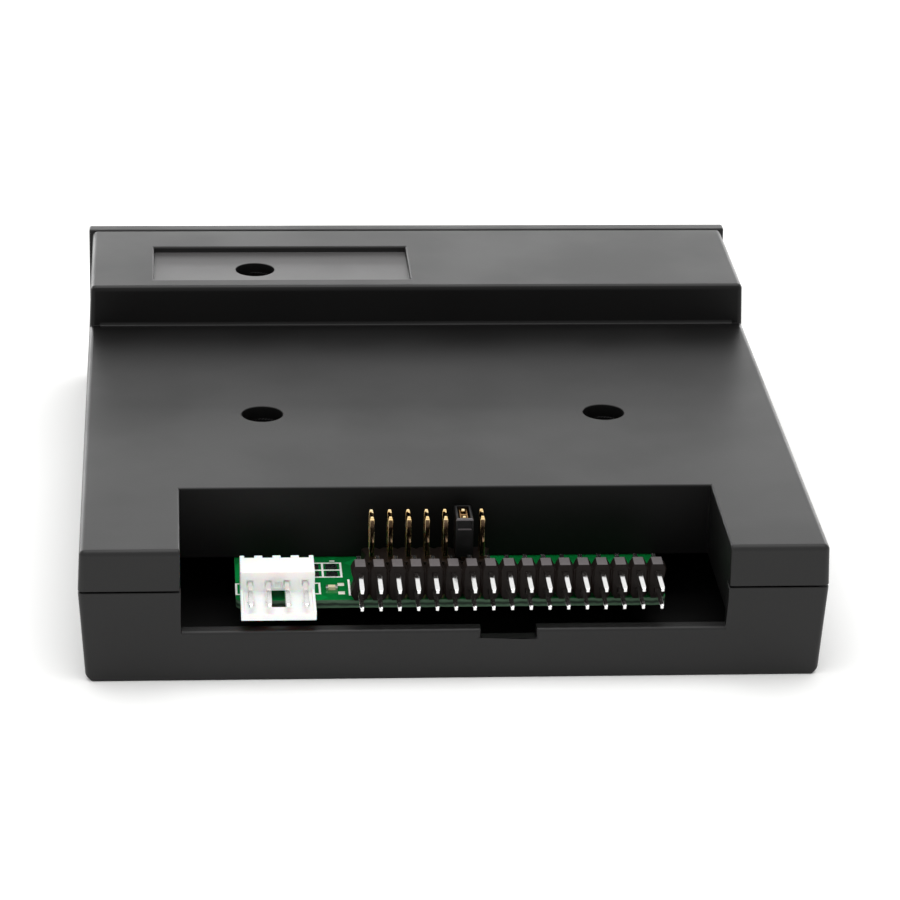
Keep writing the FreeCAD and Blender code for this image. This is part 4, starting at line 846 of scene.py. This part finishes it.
# %% The ink
ink_width, ink_thick = 0.3, 0.03
half = ink_width / 2
frame_rows, frame_columns = (38.6, 40.98, 43.3), (14.73, 17.28, 19.85)
strokes = [((frame_columns[0] - half, y), (frame_columns[-1] + half, y)) for y in frame_rows]
for x in frame_columns:
    strokes += [((x, lower + half), (x, upper - half)) for lower, upper in zip(frame_rows, frame_rows[1:])]
socket_left, socket_right, outline_low, outline_high, corner = 29.3, 17.9, 45.2, 49.0, 0.8
for x, inwards in ((socket_left, -1), (socket_right, 1)):
    strokes.append(((x, outline_low), (x, outline_high)))
    for y in (outline_low + half, outline_high - half):
        strokes.append(((x + inwards * half, y), (x + inwards * corner, y)))
header_end, bar_low, bar_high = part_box("drive_header_body")[1].x / mm, 44.2, 49.5
strokes.append(((header_end, bar_low), (header_end, bar_high)))
dash_from, dash_to, dash_row = 15.5, 16.2, 37.9
strokes.append(((dash_from, dash_row), (dash_to, dash_row)))
ink_middle = board_top + ink_thick / 2
paths = bpy.data.meshes.new("ink_paths")
paths.from_pydata([Vector((x, y, ink_middle)) * mm for stroke in strokes for x, y in stroke],
                  [(2 * i, 2 * i + 1) for i in range(len(strokes))], [])
ink = grow("silkscreen_strokes", paths, ink_tree, Width=ink_width * mm, Thickness=ink_thick * mm,
           Finish=silk_ink)
print("strokes of ink:", len(strokes))
settle(ink, "drive", "board_laminate")

# %% [markdown]
# The bay's block of chips has two more behind the power socket, where CAD has none. They are the same
# chips, so the CAD's own pair is copied across, bodies and end caps together.

# %% Two more chips in the bay
def part_of(mesh, chosen):
    """Keeps only the points of a mesh that pass a test on their place in mm."""
    shape = bmesh.new()
    shape.from_mesh(mesh)
    rest = [point for point in shape.verts if not chosen(point.co / mm)]
    bmesh.ops.delete(shape, geom=rest, context="VERTS")
    shape.to_mesh(mesh)
    shape.free()
    return mesh


chip_step = 2.55
for name, node, slot, finish in (("bay_chip_bodies", "chip_resistors", "resistor_ceramic", resistor_glass),
                                 ("bay_chip_caps", "chip_end_caps", "tinned_leads", bay_dark_tin)):
    mesh = part_of(cad_mesh(node), lambda place: bay_chips_from < place.y < bay_chips_to)
    mesh.transform(Matrix.Translation((chip_step * mm, 0, 0)))
    chips = new_object(name, mesh, finish)
    round_edges(chips, width=0.03 * mm)
    settle(chips, "drive", slot)

# %% [markdown]
# Screws, cans, beads of solder and the lamp are turned shapes, each the same all round an axis. A profile
# from the axis out and back to the axis is turned in steps, and a point on the axis stays a single point,
# so the shape is closed at both ends.

# %% Turned shapes
def turned(name, profile, steps):
    """A closed mesh turned about Z from a profile of radius and height in mm, from the axis to the axis."""
    shape = bmesh.new()
    rings = []
    for radius, height in profile:
        count = 1 if radius == 0 else steps
        rings.append([shape.verts.new(Vector((radius * math.cos(math.tau * i / count),
                                              radius * math.sin(math.tau * i / count), height)) * mm)
                      for i in range(count)])
    for lower, upper in zip(rings, rings[1:]):
        for i in range(steps):
            corners = [lower[i % len(lower)], lower[(i + 1) % len(lower)], upper[(i + 1) % len(upper)],
                       upper[i % len(upper)]]
            # At the axis two corners are the same point, and a triangle is left
            face = shape.faces.new(list(dict.fromkeys(corners)))
            face.smooth = True
    bmesh.ops.recalc_face_normals(shape, faces=shape.faces)
    mesh = bpy.data.meshes.new(name)
    shape.to_mesh(mesh)
    shape.free()
    return mesh


# %% [markdown]
# Screws, cans and beads each come back in several places. One tree puts copies of a shape on points and
# turns each by an angle of its own, as a screwdriver or a soldering iron leaves them. The angles are
# random, with a fixed seed.

# %% Copies on points
def copies_tree():
    """Puts a copy of an object on every point, turned by a random angle about Z up to a given one."""
    tree = bpy.data.node_groups.new("copies_on_points", "GeometryNodeTree")
    given = node_inputs(tree, ("Points", "Geometry"), ("Shape", "Object"), ("Turn", "Float"), ("Seed", "Int"),
                        ("Finish", "Material"))
    shape = put(tree, "GeometryNodeObjectInfo", {"Object": given["Shape"]})
    angle = put(tree, "FunctionNodeRandomValue", {"Max": given["Turn"], "Seed": given["Seed"]},
                data_type="FLOAT")
    turn = put(tree, "ShaderNodeCombineXYZ", {"Z": angle.outputs["Value"]})
    put_on = put(tree, "GeometryNodeInstanceOnPoints", {"Points": given["Points"],
                                                        "Instance": shape.outputs["Geometry"],
                                                        "Rotation": turn.outputs["Vector"]})
    finish_tree(tree, put_on.outputs["Instances"], given["Finish"])
    return tree


copies = copies_tree()


def copies_at(name, shape, places, finish, turn=0.0, seed=1):
    """One mesh of a shape repeated at places in mm, each turned by up to an angle in radians."""
    points = bpy.data.meshes.new(name + "_points")
    points.from_pydata([Vector(place) * mm for place in places], [], [])
    piece = grow(name, points, copies, Shape=shape, Turn=turn, Seed=seed, Finish=finish)
    bpy.data.objects.remove(shape)
    print(name, "stands in", len(places), "places")
    return piece


# %% [markdown]
# The case screws are pan heads with a cross recess, driven from above down the wells. The head's dome is
# given by radii and how far each lies below the top. The threaded shank is a stack of ridges, and the
# recess is cut with two crossed blades.

# %% Case screws
head_radius, head_height, head_chamfer = 2.6, 1.9, 0.12
shank_radius, root_radius, shank_length, plain_end = 1.3, 1.0, 6.4, 1.0
ridges, first_ridge, half_ridge = 8, 0.3, 0.25
ridge_pitch = (shank_length - plain_end) / ridges
head_dome = ((0.0, 0.0), (1.0, 0.06), (1.8, 0.3), (2.35, 0.75), (head_radius, 1.3))
profile = [(radius, head_height - drop) for radius, drop in head_dome]
profile += [(head_radius, head_chamfer), (head_radius - head_chamfer, 0.0), (root_radius, 0.0)]
for i in range(ridges):
    top = -first_ridge - i * ridge_pitch
    profile += [(root_radius, top), (shank_radius, top - half_ridge), (root_radius, top - 2 * half_ridge)]
profile.append((0.0, -shank_length))
screw = new_object("screw", turned("screw", profile, steps=32))

blade_reach, blade_half, blade_depth = 1.5, 0.35, 1.0
cut_with(screw, [box_mesh((-x, -y, head_height - blade_depth), (x, y, head_height + blade_depth))
                 for x, y in ((blade_reach, blade_half), (blade_half, blade_reach))])
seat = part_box("case_screws")[1].z / mm - head_height
screw_x, rear_y, front_y = 24.85, 9.05, -38.25
screw_places = [(screw_x, rear_y, seat), (-screw_x, rear_y, seat), (screw_x, front_y, seat)]
screws = copies_at("pan_head_screws", screw, screw_places, zinc_steel, turn=1.5, seed=4)
settle(screws, "drive", "zinc_screws", "case_screws")

# %% [markdown]
# Where cans and beads belong is read from the CAD parts, whose solids lie loose in one mesh. Points that
# are joined by edges are one solid, so from each point that hasn't been reached a list grows along the
# edges until the solid is whole.

# %% Separate solids of a part
def boxes_of(node):
    """The lowest and highest corner, in mm, of each separate solid in a CAD part."""
    shape = bmesh.new()
    shape.from_mesh(cad_mesh(node))
    reached = set()
    boxes = []
    for start in shape.verts:
        if start in reached:
            continue
        reached.add(start)
        solid = [start]
        for point in solid:
            for edge in point.link_edges:
                other = edge.other_vert(point)
                if other not in reached:
                    reached.add(other)
                    solid.append(other)
        places = [point.co / mm for point in solid]
        boxes.append([Vector([pick(place[i] for place in places) for i in range(3)]) for pick in (min, max)])
    shape.free()
    return boxes


can_boxes = boxes_of("electrolytic_capacitors")
print("capacitors:", len(can_boxes))

# %% [markdown]
# The two electrolytic capacitors are drawn aluminium cans, crimped in at the foot, with a rounded
# shoulder and a slightly sunk end. The crimp is given by how far it lies inside the can's radius and how
# high up, the shoulder by how far inside and how far below the top.

# %% Capacitor cans
can_low, can_high = can_boxes[0]
can_radius = (can_high.x - can_low.x) / 2
can_height = can_high.z - can_low.z
crimp = ((0.25, 0.0), (0.0, 0.2), (0.0, 0.75), (0.3, 0.95), (0.0, 1.15))
shoulder = ((0.0, 0.35), (0.1, 0.1), (0.35, 0.0), (0.5, 0.02))
end_sunk = 0.04
profile = [(0.0, 0.0)] + [(can_radius - inside, up) for inside, up in crimp]
profile += [(can_radius - inside, can_height - down) for inside, down in shoulder]
profile.append((0.0, can_height - end_sunk))
can = new_object("can", turned("can", profile, steps=48))
can_places = [((low.x + high.x) / 2, (low.y + high.y) / 2, low.z) for low, high in can_boxes]
cans = copies_at("drawn_cans", can, can_places, can_aluminium)
settle(cans, "drive", "capacitor_can", "electrolytic_capacitors")

# %% [markdown]
# Every post that goes into the board has a bead of solder round its foot, drawn up the post by the
# surface of the molten metal. The header's and the socket's posts stand at the front of their solids, the
# lamp's and the display's at the back.

# %% Beads of solder
half_post, half_lead, nearly_round = 0.32, 0.3, 6.2
feet = []
for node in ("drive_header_pins", "power_socket_pins"):
    feet += [((low.x + high.x) / 2, low.y + half_post, board_top) for low, high in boxes_of(node)]
for node in ("lamp_leads", "display_link_pins"):
    feet += [((low.x + high.x) / 2, high.y - half_lead, board_top) for low, high in boxes_of(node)]
bead_profile = [(0.0, 0.0), (0.62, 0.0), (0.58, 0.05), (0.46, 0.14), (0.4, 0.3), (0.0, 0.31)]
bead = new_object("bead", turned("bead", bead_profile, steps=16))
beads = copies_at("solder_beads", bead, feet, pad_solder, turn=nearly_round, seed=2)
settle(beads, "drive", "tinned_leads")

# %% [markdown]
# The lamp is a cast epoxy lens with a domed end and a flange behind. It is turned about its own axis,
# then laid along Y with the dome to the front.

# %% The lamp
low, high = [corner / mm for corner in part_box("activity_lamp")]
length = high.y - low.y
flange_radius = (high.x - low.x) / 2
lens_radius, flange_thick, chamfer, lip = 1.5, 1.0, 0.1, 0.15
dome_steps = [math.radians(degrees) for degrees in range(0, 91, 10)]
profile = [(lens_radius * math.sin(step), length - lens_radius * (1 - math.cos(step))) for step in dome_steps]
profile += [(lens_radius, flange_thick), (flange_radius - chamfer, flange_thick),
            (flange_radius, flange_thick - lip), (flange_radius, chamfer), (flange_radius - chamfer, 0.0),
            (0.0, 0.0)]
lens_mesh = turned("domed_lens", profile, steps=48)
lens_end = Vector(((low.x + high.x) / 2, high.y, (low.z + high.z) / 2)) * mm
lens_mesh.transform(Matrix.Translation(lens_end) @ Matrix.Rotation(math.radians(90), 4, "X"))
lens = new_object("domed_lens", lens_mesh, lamp_epoxy)
settle(lens, "drive", "lamp_resin", "activity_lamp")
